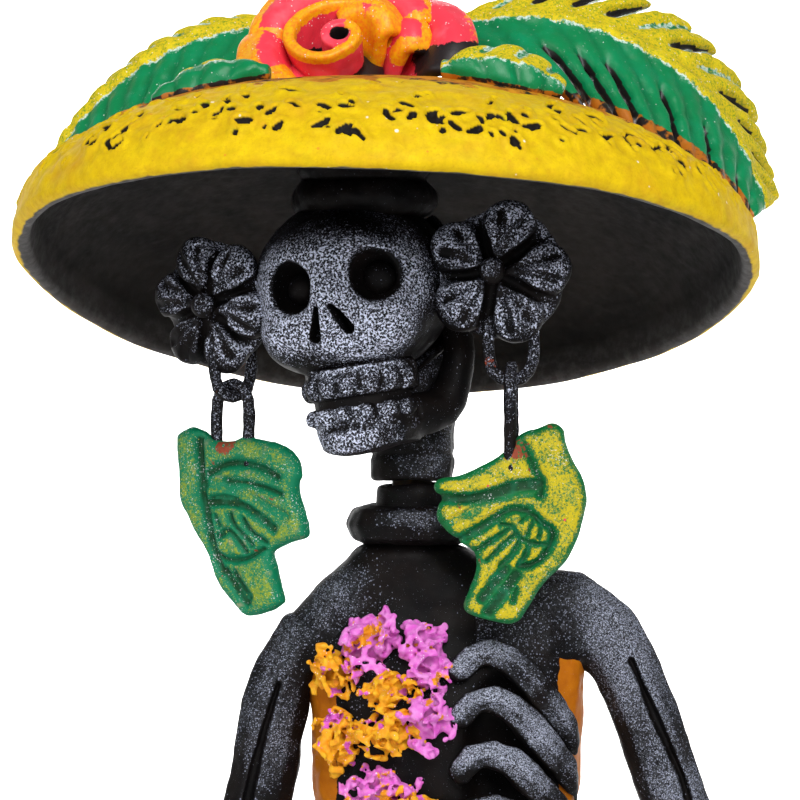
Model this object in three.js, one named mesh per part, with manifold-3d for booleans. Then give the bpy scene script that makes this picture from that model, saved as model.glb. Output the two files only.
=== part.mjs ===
// Catrina: a hand-built clay skeleton lady in a wide hat, 0.41 m tall, modelled piece by piece as a potter
// builds her. She faces -Y, Z is up, and the units are millimetres. "Left" and "right" are her own sides.
// The head, with its hat and earrings, is a separate piece that stands on a wooden peg in the neck.
import * as THREE from "three";
import { LoftGeometry } from "three/addons/geometries/LoftGeometry.js";
import { mergeVertices } from "three/addons/utils/BufferGeometryUtils.js";
import Module from "manifold-3d";

const wasm = await Module();
wasm.setup();

// ---------------------------------------------------------------- driving dimensions

const GAP = 0.35; // clearance between pieces that touch
const WIRE = 1.3; // radius of the clay rings that carry the earrings

const SKIRT = { x: 8, hem: 62, top: 197, wall: 4.5, flutes: 12, fluteDepth: 2.6 };
const SHOULDER_ROLL = 6.5; // degrees that her left shoulder is higher
const STUB = { x: 3.4, radius: 8.3, top: 295.2 }; // the neck of the torso
const COLLAR = { z: 286.2, ring: 9.9, radius: 4.5 };
const PEG = { radius: 4.4, bottom: 279, top: 311, fit: 0.35 };
const NECK = { radius: 9.4, bottom: 295.7, top: 324 };

const HEAD = { x: -8, y: -13, z: 337, turn: -20, lean: -8.5 }; // centre of the cranium
const CRANIUM = [20.6, 22, 19.6];
const EYE = { x: 9.4, y: -17, z: 1.2, radius: 5.3, ball: 3.3 };
const MOUTH_Z = -23;

const HAT = { x: -2.4, y: -7, z: 340, tilt: -16, roll: 2.3, radius: 80, height: 34.5, wall: 4.2, wave: 2.8 };

const EAR_FLOWER = { radius: 15, thickness: 7.5 };
const EAR_RING = { halfWidth: 4.6, depth: 7.6, sunk: 5 };
const BIRD_THICKNESS = 6.6;
// Where each ear flower sits and faces, how its ring, the bird's ring and the bird turn about the vertical,
// and how far the bird hangs below its ring.
const LEFT_EARRING = {
  flower: [21.8, -26, 339.3],
  turn: -4,
  roll: 0,
  ring: [24, -26, 317],
  ringTurn: -4,
  birdRing: { halfWidth: 3.3, length: 21.5, sunk: 3.6, turn: 84 },
  birdTurn: 2,
};
const RIGHT_EARRING = {
  flower: [-39, -12, 333],
  turn: -36,
  roll: 10,
  ring: [-34.8, -11, 313.6],
  ringTurn: 38,
  birdRing: { halfWidth: 3.9, length: 17.8, sunk: 4.6, turn: -30 },
  birdTurn: -26,
};

// ---------------------------------------------------------------- helpers

const V = (x, y, z) => new THREE.Vector3(x, y, z);
const rad = THREE.MathUtils.degToRad;

// A geometry's positions alone, with shared vertices merged.
function bare(geometry) {
  const loose = geometry.index ? geometry.toNonIndexed() : geometry;
  const only = new THREE.BufferGeometry().setAttribute("position", loose.getAttribute("position").clone());
  return mergeVertices(only, 1e-3);
}

function solid(geometry) {
  const merged = bare(geometry);
  return new wasm.Manifold(
    new wasm.Mesh({
      numProp: 3,
      vertProperties: merged.attributes.position.array,
      triVerts: new Uint32Array(merged.index.array),
    }),
  );
}

// The largest body of a manifold, as a geometry.
function geometryOf(manifold) {
  const bodies = manifold.decompose().sort((a, b) => b.volume() - a.volume());
  const mesh = bodies[0].getMesh();
  const positions = new Float32Array(mesh.vertProperties);
  return new THREE.BufferGeometry()
    .setAttribute("position", new THREE.BufferAttribute(positions, 3))
    .setIndex(new THREE.BufferAttribute(new Uint32Array(mesh.triVerts), 1));
}

const join = (...geometries) => geometryOf(geometries.map(solid).reduce((a, b) => a.add(b)));
const cut = (geometry, ...cutters) =>
  geometryOf(cutters.map(solid).reduce((a, b) => a.subtract(b), solid(geometry)));

// The same surface, moved outwards by a distance.
function grown(geometry, distance) {
  const merged = bare(geometry);
  merged.computeVertexNormals();
  const at = merged.attributes.position;
  const out = merged.attributes.normal;
  for (let i = 0; i < at.count; i++) {
    at.setXYZ(
      i,
      at.getX(i) + out.getX(i) * distance,
      at.getY(i) + out.getY(i) * distance,
      at.getZ(i) + out.getZ(i) * distance,
    );
  }
  return merged;
}

// Moves each vertex of a geometry by a function of its place.
function shaped(geometry, move) {
  const at = geometry.attributes.position;
  const p = V(0, 0, 0);
  for (let i = 0; i < at.count; i++) {
    p.fromBufferAttribute(at, i);
    move(p);
    at.setXYZ(i, p.x, p.y, p.z);
  }
  return geometry;
}

function ellipsoid(rx, ry, rz, columns = 10, rows = 7) {
  return new THREE.SphereGeometry(1, columns, rows).rotateX(Math.PI / 2).scale(rx, ry, rz);
}

// A cylinder that stands on Z.
function post(radius, bottom, top, sides = 16) {
  return new THREE.CylinderGeometry(radius, radius, top - bottom, sides)
    .rotateX(Math.PI / 2)
    .translate(0, 0, (top + bottom) / 2);
}

// A body of revolution about Z from a closed profile of [radius, height] points.
function turned(profile, sides) {
  const points = profile.map(([r, z]) => new THREE.Vector2(r, z));
  const area = points.reduce((sum, p, i) => sum + p.cross(points[(i + 1) % points.length]), 0);
  if (area < 0) points.reverse();
  return new THREE.LatheGeometry(points, sides).rotateX(Math.PI / 2);
}

// Blends the values of a list evenly along 0 to 1.
function along(values, t) {
  const at = t * (values.length - 1);
  const i = Math.min(Math.floor(at), values.length - 2);
  return THREE.MathUtils.lerp(values[i], values[i + 1], at - i);
}

// A rolled coil of clay along a path: its radius changes along it, and both ends are rounded.
function coil(path, radii, { sides = 8, steps = 12, flat = 1 } = {}) {
  const curve = new THREE.CatmullRomCurve3(path, false, "centripetal");
  const frames = curve.computeFrenetFrames(steps, false);
  const sections = [];
  const section = (centre, i, radius) =>
    Array.from({ length: sides }, (_, k) => {
      const angle = (k / sides) * 2 * Math.PI;
      return centre
        .clone()
        .addScaledVector(frames.normals[i], Math.cos(angle) * radius)
        .addScaledVector(frames.binormals[i], Math.sin(angle) * radius * flat);
    });
  const first = radii[0];
  const last = radii[radii.length - 1];
  const start = curve.getPointAt(0).addScaledVector(frames.tangents[0], -0.6 * first);
  const end = curve.getPointAt(1).addScaledVector(frames.tangents[steps], 0.6 * last);
  sections.push(section(start, 0, first * 0.55));
  for (let i = 0; i <= steps; i++) sections.push(section(curve.getPointAt(i / steps), i, along(radii, i / steps)));
  sections.push(section(end, steps, last * 0.55));
  return new LoftGeometry(sections, { capStart: true, capEnd: true });
}

// A ring bent to a U with its legs upwards: the middle of its bend is at the origin.
function loop(halfWidth, depth) {
  const bend = Array.from({ length: 5 }, (_, i) => {
    const angle = Math.PI + (i / 4) * Math.PI;
    return V(Math.cos(angle) * halfWidth, 0, halfWidth + Math.sin(angle) * halfWidth);
  });
  return coil([V(-halfWidth, 0, depth), ...bend, V(halfWidth, 0, depth)], [WIRE, WIRE], { sides: 6, steps: 14 });
}

const materials = Object.fromEntries(
  Object.entries({
    black: [0x1d1c1e, 0.6],
    hat_yellow: [0xe6c60c, 0.65],
    rose_pink: [0xee3f68, 0.45],
    leaf_green: [0x0f9f5c, 0.5],
    bird_green: [0x2f9a3c, 0.65],
    mustard: [0xc9821c, 0.7],
    petal_magenta: [0xd552c2, 0.6],
    petal_orange: [0xf0a013, 0.55],
    wood: [0x9a6b3c, 0.75],
  }).map(([name, [color, roughness]]) => [
    name,
    new THREE.MeshStandardMaterial({ name, color, roughness, metalness: 0 }),
  ]),
);

function piece(group, name, geometry, material) {
  const mesh = new THREE.Mesh(geometry, materials[material]);
  mesh.name = name;
  group.add(mesh);
  return mesh;
}

// Takes from a placed piece the space of its neighbours and the gap round them.
function fit(target, ...neighbours) {
  const toTarget = target.matrixWorld.clone().invert();
  const cutters = neighbours.map((n) =>
    grown(n.geometry, GAP).applyMatrix4(n.matrixWorld).applyMatrix4(toTarget),
  );
  target.geometry = cut(target.geometry, ...cutters);
}

// ---------------------------------------------------------------- skirt

const skirtLine = new THREE.SplineCurve(
  [[SKIRT.hem, 0], [56, 14], [45, 38], [36, 70], [31, 110], [28.5, 148], [25, 176], [17.5, SKIRT.top]].map(
    ([r, z]) => new THREE.Vector2(r, z),
  ),
);

// Radius of the skirt at a height, without its flutes.
function skirtRadius(z) {
  const points = skirtLine.getPoints(8);
  const i = Math.max(1, points.findIndex((p) => p.y >= z));
  const t = (z - points[i - 1].y) / (points[i].y - points[i - 1].y);
  return THREE.MathUtils.lerp(points[i - 1].x, points[i].x, t);
}

// Gathers cloth-like flutes into a surface of revolution, deeper towards the hem.
function fluted(geometry) {
  return shaped(geometry, (p) => {
    const radius = Math.hypot(p.x, p.y);
    if (radius < 1) return;
    const angle = Math.atan2(p.y, p.x);
    const fade = THREE.MathUtils.clamp(1 - p.z / SKIRT.top, 0, 1) ** 1.5;
    const scale = 1 + (SKIRT.fluteDepth * fade * Math.cos(SKIRT.flutes * angle)) / radius;
    p.x *= scale;
    p.y *= scale;
  });
}

// A hollow bell, open at the hem and closed at the waist.
function skirtShell() {
  const ceiling = SKIRT.top - 12;
  const outer = skirtLine.getPoints(8).map((p) => [p.x, p.y]);
  const inner = skirtLine
    .getPoints(5)
    .filter((p) => p.y < ceiling - 10)
    .map((p) => [p.x - SKIRT.wall, p.y]);
  return fluted(turned([[0, ceiling], [12, ceiling], ...inner.reverse(), ...outer, [0, SKIRT.top]], 36));
}

// The gathered strip above the hem.
function hemRuffle() {
  const [low, high] = [20, 38];
  const profile = [
    [skirtRadius(low) - 1, low],
    [skirtRadius(low) + 5.5, low - 2],
    [skirtRadius(low) + 6.5, low + 1.5],
    [skirtRadius(high) + 2.5, high],
    [skirtRadius(high) - 1, high],
    [skirtRadius(low) - 1, low],
  ];
  const ruffles = 18;
  return shaped(fluted(turned(profile, 36)), (p) => {
    const share = THREE.MathUtils.clamp((high - p.z) / (high - low), 0, 1);
    const scale = 1 + 0.02 * share * Math.cos(ruffles * Math.atan2(p.y, p.x));
    p.x *= scale;
    p.y *= scale;
  });
}

// A five-petalled flower with its centre at the origin, facing -Y.
function flowerHead(radius, thickness, petals = 5) {
  const lobes = Array.from({ length: petals }, (_, i) => {
    const angle = Math.PI / 2 + ((i + 0.5) / petals) * 2 * Math.PI;
    const size = radius * 0.46;
    return ellipsoid(size, thickness / 2, size * 0.92, 8, 5).translate(
      Math.cos(angle) * radius * 0.55,
      0,
      Math.sin(angle) * radius * 0.55,
    );
  });
  const back = new THREE.CylinderGeometry(radius * 0.62, radius * 0.55, thickness * 0.5, 10).translate(
    0,
    thickness * 0.25,
    0,
  );
  return join(back, ...lobes);
}

function buildSkirt(figure) {
  const skirt = new THREE.Group();
  skirt.position.set(SKIRT.x, 0, 0);
  figure.add(skirt);
  const shell = piece(skirt, "skirt", skirtShell(), "mustard");
  const ruffle = piece(skirt, "hem_ruffle", hemRuffle(), "petal_magenta");
  const sash = piece(
    skirt,
    "waist_sash",
    new THREE.TorusGeometry(16.5, 3.6, 6, 16).scale(1, 0.88, 1.25).translate(1, 0, 199),
    "black",
  );
  const flowers = [-38, 0, 38].map((angle, i) => {
    const z = [58, 66, 60][i];
    const r = skirtRadius(z) + 2.5;
    const flower = piece(
      skirt,
      `skirt_flower_${i + 1}`,
      flowerHead([9, 10, 9][i], 5.5),
      i % 2 ? "petal_orange" : "petal_magenta",
    );
    flower.position.set(r * Math.sin(rad(angle)), -r * Math.cos(rad(angle)), z);
    flower.rotation.set(0, 0, rad(angle));
    return flower;
  });
  return { shell, ruffle, sash, flowers };
}

// ---------------------------------------------------------------- torso, ribs and arms

// Cross-sections of the torso from the waist up: height, half width, half depth, centre in X.
const TORSO = [
  [198.2, 15.5, 12, 9],
  [206, 20, 13.5, 9.8],
  [216, 26, 16, 10.6],
  [229, 29.4, 18, 11],
  [246, 29.8, 18, 11],
  [256, 30.5, 16.5, 11],
  [263.5, 31.5, 13.5, 10.5],
  [269, 26.5, 11.8, 9.4],
  [273.4, 19, 11, 7.2],
  [277.4, 13.4, 10.8, 4.8],
  [281, 11.4, 11, STUB.x],
];

// Half width, half depth and centre of the torso at a height.
function torsoAt(z) {
  const i = THREE.MathUtils.clamp(TORSO.findIndex((s) => s[0] >= z), 1, TORSO.length - 1);
  const t = (z - TORSO[i - 1][0]) / (TORSO[i][0] - TORSO[i - 1][0]);
  return [1, 2, 3].map((k) => THREE.MathUtils.lerp(TORSO[i - 1][k], TORSO[i][k], t));
}

// A point on the front of the torso, moved out by a distance.
function onChest(x, z, outset) {
  const [a, b, cx] = torsoAt(z);
  const share = THREE.MathUtils.clamp((x - cx) / (a + outset), -0.99, 0.99);
  return V(x, -(b + outset) * Math.sqrt(1 - share * share), z);
}

// The height by which the leaning shoulders lift a point of the torso.
function shoulderLift(x, z) {
  const share = THREE.MathUtils.smoothstep(z, 215, 268) * (1 - THREE.MathUtils.smoothstep(z, 272, 281));
  return (x - 10) * Math.tan(rad(SHOULDER_ROLL)) * share;
}

function torsoBody() {
  const sides = 16;
  const sections = TORSO.map(([z, a, b, cx]) =>
    Array.from({ length: sides }, (_, k) => {
      const angle = (k / sides) * 2 * Math.PI;
      const x = cx + a * Math.cos(angle);
      return V(x, b * Math.sin(angle), z + shoulderLift(x, z));
    }),
  );
  const trunk = new LoftGeometry(sections, { capStart: true, capEnd: true });
  const stub = post(STUB.radius, 276, STUB.top).translate(STUB.x, 0, 0);
  const socket = post(PEG.radius + PEG.fit, PEG.bottom - 1, STUB.top + 1).translate(STUB.x, 0, 0);
  // The hollow that her ribs bridge.
  const hollow = ellipsoid(13.5, 8, 27, 10, 8).translate(27, -17.5, 234);
  return cut(join(trunk, stub), socket, hollow);
}

// One rib of her left side, from the breastbone, over an arch and down to her flank.
function rib(top, reach) {
  const route = [[13.2, -4], [17.5, 0], [23, -1.2], [30, -8], [35.5, -15.5], [reach, -23]];
  return coil(
    route.map(([x, drop], i) => onChest(x, top + drop, i > 3 ? 0 : 1.4)),
    [2.5, 3, 3.2, 3, 2.6],
    { sides: 6, steps: 10 },
  );
}

// A ragged lump of clay pressed through a mesh, lying on the chest.
function mossTuft(x, z, width, height, turn) {
  const lump = new THREE.IcosahedronGeometry(1, 1);
  shaped(lump, (p) => {
    const ragged = 1 + 0.16 * Math.sin(5 * p.x + 3 * p.z + x) * Math.cos(4 * p.y + z) + 0.1 * Math.sin(9 * p.z + z);
    p.multiplyScalar(ragged);
    p.set(p.x * width * 0.5, p.y * 4, p.z * height * 0.5);
  });
  const at = onChest(x, z, 1.8);
  const facing = Math.atan2(x - torsoAt(z)[2], -at.y * 1.6);
  return lump.rotateY(rad(turn)).rotateZ(facing).translate(at.x, at.y, at.z);
}

// Name, place on the chest, size, turn.
const TUFTS = [
  ["flower_magenta_1", -5, 261, 19, 11, 20],
  ["flower_magenta_2", 6, 259.5, 12, 14, -25],
  ["flower_orange_1", -13.5, 254.5, 15, 10, 45],
  ["flower_orange_2", -2, 252, 15, 10, -30],
  ["flower_magenta_3", 7.5, 245.5, 11, 13, 20],
  ["flower_orange_3", -1.5, 242.5, 14, 12, -15],
  ["flower_orange_4", -11.5, 241.5, 12, 14, 25],
  ["flower_magenta_4", -3, 231.5, 15, 11, -25],
  ["flower_orange_5", 4.5, 226, 13, 12, 30],
];

function arm(side) {
  const left = side === "left";
  const path = left
    ? [V(22, 0, 270), V(33, 0, 270.5), V(41.5, 0, 268), V(47, 0, 260), V(53.1, 0, 247), V(58.2, 0, 232),
        V(65, -2, 211), V(61, -12, 193), V(50, -21, 178)]
    : [V(-6, 0, 266), V(-13.5, 0, 264.5), V(-20.8, 0, 260.5), V(-24.8, 0, 251), V(-27.6, 0, 240), V(-29.4, 0, 228),
        V(-35, -2, 209), V(-33, -12, 190), V(-26, -22, 174)];
  return coil(path, [5.4, 7, 7.6, 7.6, 7.5, 7.2, 6.5, 5.4, 4.4], { sides: 10, steps: 15 });
}

// A bony hand at the origin, its fingers towards -Z and its palm towards +Y.
function hand(thumbSide) {
  const palm = ellipsoid(5, 3, 6.5, 8, 6).translate(0, 0, -4);
  const fingers = [-3.6, -1.2, 1.2, 3.6].map((x, i) => {
    const length = [12, 14, 14.5, 12.5][i];
    return coil([V(x, 0, -6), V(x * 1.25, -1, -12), V(x * 1.3, 0.6, -8 - length)], [1.6, 1.3, 1], { sides: 4, steps: 2 });
  });
  const thumb = coil([V(3.5 * thumbSide, 0, -2), V(6.6 * thumbSide, 0, -7), V(6.8 * thumbSide, 0.6, -12)], [1.6, 1.1], {
    sides: 5,
    steps: 3,
  });
  return join(palm, ...fingers, thumb);
}

function buildTorso(figure) {
  const body = piece(figure, "torso", torsoBody(), "black");
  const ribs = [[259.6, 39.6], [250, 40.2], [238.6, 40], [227.4, 38.6]].map(([top, reach], i) =>
    piece(figure, `rib_${i + 1}`, rib(top, reach), "black"),
  );
  const collar = piece(
    figure,
    "neck_ring",
    new THREE.TorusGeometry(COLLAR.ring, COLLAR.radius, 8, 20).translate(STUB.x, 0, COLLAR.z),
    "black",
  );
  const tufts = TUFTS.map(([name, x, z, width, height, turn]) =>
    piece(figure, name, mossTuft(x, z, width, height, turn), name.includes("orange") ? "petal_orange" : "petal_magenta"),
  );
  const limbs = [["left", 50, 178, -1, [-28, 0, 32]], ["right", -26, 174, 1, [-30, 0, -22]]].map(
    ([side, x, z, thumb, turn]) => {
      const upper = piece(figure, `${side}_arm`, arm(side), "black");
      const palm = piece(figure, `${side}_hand`, hand(thumb), "black");
      palm.position.set(x - 2.2 * Math.sign(x), -23.8, z - 4.4);
      palm.rotation.set(rad(turn[0]), rad(side === "left" ? 40 : -34), 0);
      return { upper, palm };
    },
  );
  return { body, ribs, collar, tufts, limbs };
}

// ---------------------------------------------------------------- head

function skullBody() {
  const cranium = ellipsoid(...CRANIUM, 18, 11);
  const cheeks = ellipsoid(18.5, 16, 12, 14, 8).translate(0, -5.5, -6.5);
  const upperJaw = shaped(new THREE.BoxGeometry(20.4, 15, 12, 4, 1, 1), (p) => {
    p.y -= 4 * (1 - (p.x / 10.2) ** 2) * (p.y < 0 ? 1 : 0);
  }).translate(0, -10.5, MOUTH_Z + GAP + 6);
  const sockets = [-1, 1].map((side) =>
    new THREE.CylinderGeometry(EYE.radius, EYE.radius * 0.8, 9, 12)
      .rotateZ(rad(side * -24))
      .translate(side * EYE.x, EYE.y, EYE.z),
  );
  const nostrils = [-1, 1].map((side) =>
    ellipsoid(1.1, 3.5, 3.4, 6, 5)
      .rotateY(rad(side * 18))
      .translate(side * 2.3, -21.5, -8.6),
  );
  return cut(join(cranium, cheeks, upperJaw), ...sockets, ...nostrils);
}

// The lower jaw with its teeth, chin and the two branches that rise to the ears.
function jawBody() {
  const teeth = shaped(new THREE.BoxGeometry(19.8, 14, 7, 4, 1, 1), (p) => {
    p.y -= 4 * (1 - (p.x / 9.9) ** 2) * (p.y < 0 ? 1 : 0);
  }).translate(0, -10, MOUTH_Z - 3.5);
  const chin = ellipsoid(10, 10, 6.4, 12, 8).translate(0, -11.5, MOUTH_Z - 5.9);
  const branches = [-1, 1].map((side) =>
    coil([V(side * 7.5, -8, -28), V(side * 13, -1, -26.5), V(side * 16.5, 5, -17), V(side * 17.6, 7, -8)], [3, 3.2, 2.8], {
      sides: 7,
      steps: 5,
    }),
  );
  const lid = new THREE.BoxGeometry(24, 26, 10).translate(0, -14, MOUTH_Z + 5);
  return cut(join(teeth, chin, ...branches), lid);
}

// The roll of hair between her crown and the hat, in two turns.
function hairRoll() {
  return turned([[0, -7], [13, -7], [16.2, -3.5], [14.4, 0], [15.4, 3.6], [13, 9], [0, 9]], 16);
}

// The hair that falls from the back of the skull to the nape.
function hairBack() {
  const shell = ellipsoid(23.2, 25, 22.4, 12, 8);
  const nape = ellipsoid(13, 7.5, 19, 9, 6).translate(0, 13.5, -16);
  const face = new THREE.BoxGeometry(60, 34, 60).translate(0, -12.5, 0);
  const scalp = ellipsoid(CRANIUM[0] + 1.4, CRANIUM[1] + 1.4, CRANIUM[2] + 1.4, 12, 8);
  return cut(join(shell, nape), face, scalp);
}

function buildHead(upper) {
  const neck = piece(
    upper,
    "neck",
    cut(
      turned(
        [[0, NECK.bottom], [NECK.radius - 0.5, NECK.bottom], [NECK.radius, 300], [NECK.radius, NECK.top], [0, NECK.top]],
        16,
      ),
      post(PEG.radius + PEG.fit, NECK.bottom - 1, PEG.top + 1),
    ).translate(STUB.x, 0, 0),
    "black",
  );
  const head = new THREE.Group();
  head.position.set(HEAD.x, HEAD.y, HEAD.z);
  head.rotation.set(0, rad(HEAD.lean), rad(HEAD.turn), "YZX");
  upper.add(head);
  const skull = piece(head, "skull", skullBody(), "black");
  const jaw = piece(head, "jaw", jawBody(), "black");
  const eyes = [-1, 1].map((side) => {
    const ball = piece(head, side > 0 ? "left_eyeball" : "right_eyeball", ellipsoid(EYE.ball, EYE.ball, EYE.ball, 8, 6), "black");
    ball.position.set(side * (EYE.x - 1), EYE.y + 2.4, EYE.z);
    return ball;
  });
  const roll = piece(upper, "hair_roll", hairRoll(), "black");
  roll.position.set(-6.8, -12, 359);
  const back = piece(head, "hair_back", hairBack(), "black");
  return { neck, skull, jaw, eyes, roll, back };
}

// ---------------------------------------------------------------- earrings

// A bird with its head up and its wing to one side. The origin is on its back, where its ring enters.
function birdBody(mirrored) {
  const outline = new THREE.Shape();
  const out = mirrored ? -1 : 1;
  outline.moveTo(out * -0.5, 1);
  outline.bezierCurveTo(out * 1.5, 4.5, out * 4, 6.8, out * 7.6, 6.2);
  outline.lineTo(out * 11, 3.4);
  outline.bezierCurveTo(out * 11.6, 1, out * 12.4, -1, out * 14, -6);
  outline.bezierCurveTo(out * 16.2, -13, out * 14, -20, out * 9, -26);
  outline.bezierCurveTo(out * 7, -29, out * 4, -32, out * 1.6, -35.4);
  outline.lineTo(out * -3, -36.6);
  outline.lineTo(out * -10.4, -33.4);
  outline.bezierCurveTo(out * -11.6, -30, out * -9.4, -27, out * -8.4, -22.6);
  outline.bezierCurveTo(out * -11, -20.4, out * -13.4, -18, out * -16.4, -15.4);
  outline.lineTo(out * -15.6, -11);
  outline.lineTo(out * -16.8, -6.6);
  outline.bezierCurveTo(out * -14, -4.4, out * -9, -1.6, out * -5.6, 0.2);
  outline.lineTo(out * -0.5, 1);
  return new THREE.ExtrudeGeometry(outline, {
    depth: BIRD_THICKNESS - 2.4,
    bevelThickness: 1.2,
    bevelSize: 1,
    bevelOffset: -1,
    bevelSegments: 1,
    curveSegments: 3,
  })
    .rotateX(Math.PI / 2)
    .translate(0, (BIRD_THICKNESS - 2.4) / 2, 0);
}

// A flower over her ear, the ring under it, and the bird that hangs from the ring on a ring of its own.
function earring(upper, side, ear) {
  const petals = new THREE.Group();
  petals.position.set(...ear.flower);
  petals.rotation.set(0, rad(-ear.roll), rad(ear.turn), "YZX");
  upper.add(petals);
  const flower = piece(petals, `${side}_ear_flower`, flowerHead(EAR_FLOWER.radius, EAR_FLOWER.thickness), "black");
  const button = ellipsoid(3.1, 2.2, 3.1, 8, 6).translate(0, -3.4, 0);
  const centre = piece(petals, `${side}_ear_flower_centre`, button, "black");

  const ring = piece(upper, `${side}_ear_ring`, loop(EAR_RING.halfWidth, EAR_RING.depth + EAR_RING.sunk), "black");
  ring.position.set(...ear.ring);
  ring.rotation.set(0, 0, rad(ear.ringTurn));

  const { halfWidth, length, sunk, turn } = ear.birdRing;
  const pendant = new THREE.Group(); // hangs on the ring, just under its wire
  pendant.position.set(ear.ring[0], ear.ring[1], ear.ring[2] + 2 * WIRE + GAP);
  upper.add(pendant);
  const hook = piece(pendant, `${side}_bird_ring`, loop(halfWidth, length).rotateX(Math.PI), "black");
  hook.rotation.set(0, 0, rad(turn));
  const bird = piece(pendant, `${side}_bird`, birdBody(side === "right"), "bird_green");
  bird.position.set(0, 0, sunk - length);
  bird.rotation.set(0, 0, rad(ear.birdTurn));
  return { flower, centre, ring, hook, bird };
}

// ---------------------------------------------------------------- hat

// The brim droops at the front and back and lifts at the sides.
function brimWave(p) {
  const share = Math.min(Math.hypot(p.x, p.y) / HAT.radius, 1) ** 2;
  p.z += HAT.wave * share * Math.cos(2 * Math.atan2(p.y, p.x));
}

// A shallow domed bowl, open underneath.
function hatBowl() {
  const arc = (radius, height, steps) =>
    Array.from({ length: steps + 1 }, (_, i) => {
      const angle = (i / steps) * (Math.PI / 2);
      return [radius * Math.cos(angle), height * Math.sin(angle)];
    });
  const outer = arc(HAT.radius, HAT.height, 7);
  const inner = arc(HAT.radius - HAT.wall, HAT.height - HAT.wall, 6).reverse();
  return shaped(turned([...inner, ...outer, inner[0]], 36), brimWave);
}

// Height of the hat's top surface at a place on its plan.
function hatTop(x, y) {
  return HAT.height * Math.sqrt(Math.max(0, 1 - (x * x + y * y) / HAT.radius ** 2));
}

// A thick frond: its edges are scalloped by its lobes, and it tapers to a blunt tip.
function frond(spine, halfWidth, thickness, lobes, edge) {
  const steps = lobes * 2;
  const curve = new THREE.CatmullRomCurve3(spine, false, "centripetal");
  const sides = 6;
  const sections = Array.from({ length: steps + 1 }, (_, i) => {
    const t = i / steps;
    const centre = curve.getPointAt(t);
    const tangent = curve.getTangentAt(t);
    const across = edge.clone().addScaledVector(tangent, -edge.dot(tangent)).normalize();
    const through = tangent.clone().cross(across);
    const taper = Math.sqrt(Math.sin(Math.PI * (0.12 + 0.84 * t)));
    const scallop = i % 2 ? 1 : 0.88;
    return Array.from({ length: sides }, (_, k) => {
      const angle = (k / sides) * 2 * Math.PI;
      return centre
        .clone()
        .addScaledVector(across, Math.cos(angle) * halfWidth * taper * scallop)
        .addScaledVector(through, Math.sin(angle) * thickness * 0.5 * taper);
    });
  });
  return new LoftGeometry(sections, { capStart: true, capEnd: true });
}

// A thick curled petal, lying against the bud.
function rosePetal(angle, distance, size, lean) {
  return ellipsoid(size, 2.6, size * 0.8, 9, 6)
    .rotateX(rad(-lean))
    .translate(0, -distance, size * 0.45)
    .rotateZ(rad(angle));
}

function buildHat(upper) {
  const hat = new THREE.Group();
  hat.position.set(HAT.x, HAT.y, HAT.z);
  hat.rotation.set(rad(HAT.tilt), rad(HAT.roll), 0, "YXZ");
  upper.add(hat);
  const bowl = piece(hat, "hat_brim", hatBowl(), "hat_yellow");

  const rose = new THREE.Group();
  rose.position.set(-8, -29, 28);
  rose.rotation.set(rad(42), 0, 0);
  hat.add(rose);
  const bud = piece(rose, "rose_bud", turned([[0, 0], [8, 0], [10.4, 7], [9.6, 15], [6.5, 20], [0, 18]], 12), "rose_pink");
  const petals = [
    [20, 12, 10.5, 8], [140, 12, 10.5, 8], [260, 12, 10.5, 8],
    [75, 18.5, 12.5, 34], [147, 18.5, 12.5, 34], [219, 18.5, 12.5, 34], [291, 18.5, 12.5, 34], [3, 18.5, 12.5, 34],
  ].map(([angle, distance, size, lean], i) =>
    piece(rose, `rose_petal_${i + 1}`, rosePetal(angle, distance, size, lean), "rose_pink"),
  );
  const leaves = [
    ["left_frond", [[17, -27, 43], [30, -30, 41], [44, -28, 38], [58, -25, 31.5], [70, -20, 21], [79, -13, 9]], 14, 5.5, 9,
      V(0.1, 0.45, 0.9)],
    ["right_frond", [[-27, -16, 43], [-38, -18, 39], [-49, -17, 34], [-60, -13, 27], [-69, -8, 18], [-76, -2, 7]], 12.5, 5.5,
      8, V(-0.1, 0.45, 0.9)],
    ["left_leaf", [[13, -49, 26], [20, -50, 27], [27, -49, 26], [35, -46, 23]], 6.5, 6, 3, V(0, 0.35, 0.9)],
    ["right_leaf", [[-27, -46, 26], [-34, -44, 26], [-41, -41, 24.5], [-48, -37, 21.5]], 5.5, 6, 3, V(0, 0.35, 0.9)],
  ].map(([name, spine, width, thickness, lobes, edge]) =>
    piece(hat, name, frond(spine.map((p) => V(...p)), width, thickness, lobes, edge), "leaf_green"),
  );
  return { bowl, bud, petals, leaves };
}

// ---------------------------------------------------------------- the figure

const figure = new THREE.Group();
figure.name = "catrina";
const upper = new THREE.Group(); // all that lifts off with the head
figure.add(upper);

const skirt = buildSkirt(figure);
const torso = buildTorso(figure);
const peg = piece(
  figure,
  "neck_peg",
  post(PEG.radius, PEG.bottom, PEG.top, 16).translate(STUB.x, 0, 0),
  "wood",
);
const head = buildHead(upper);
const hat = buildHat(upper);
const earrings = [earring(upper, "left", LEFT_EARRING), earring(upper, "right", RIGHT_EARRING)];

figure.updateMatrixWorld(true);

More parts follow.
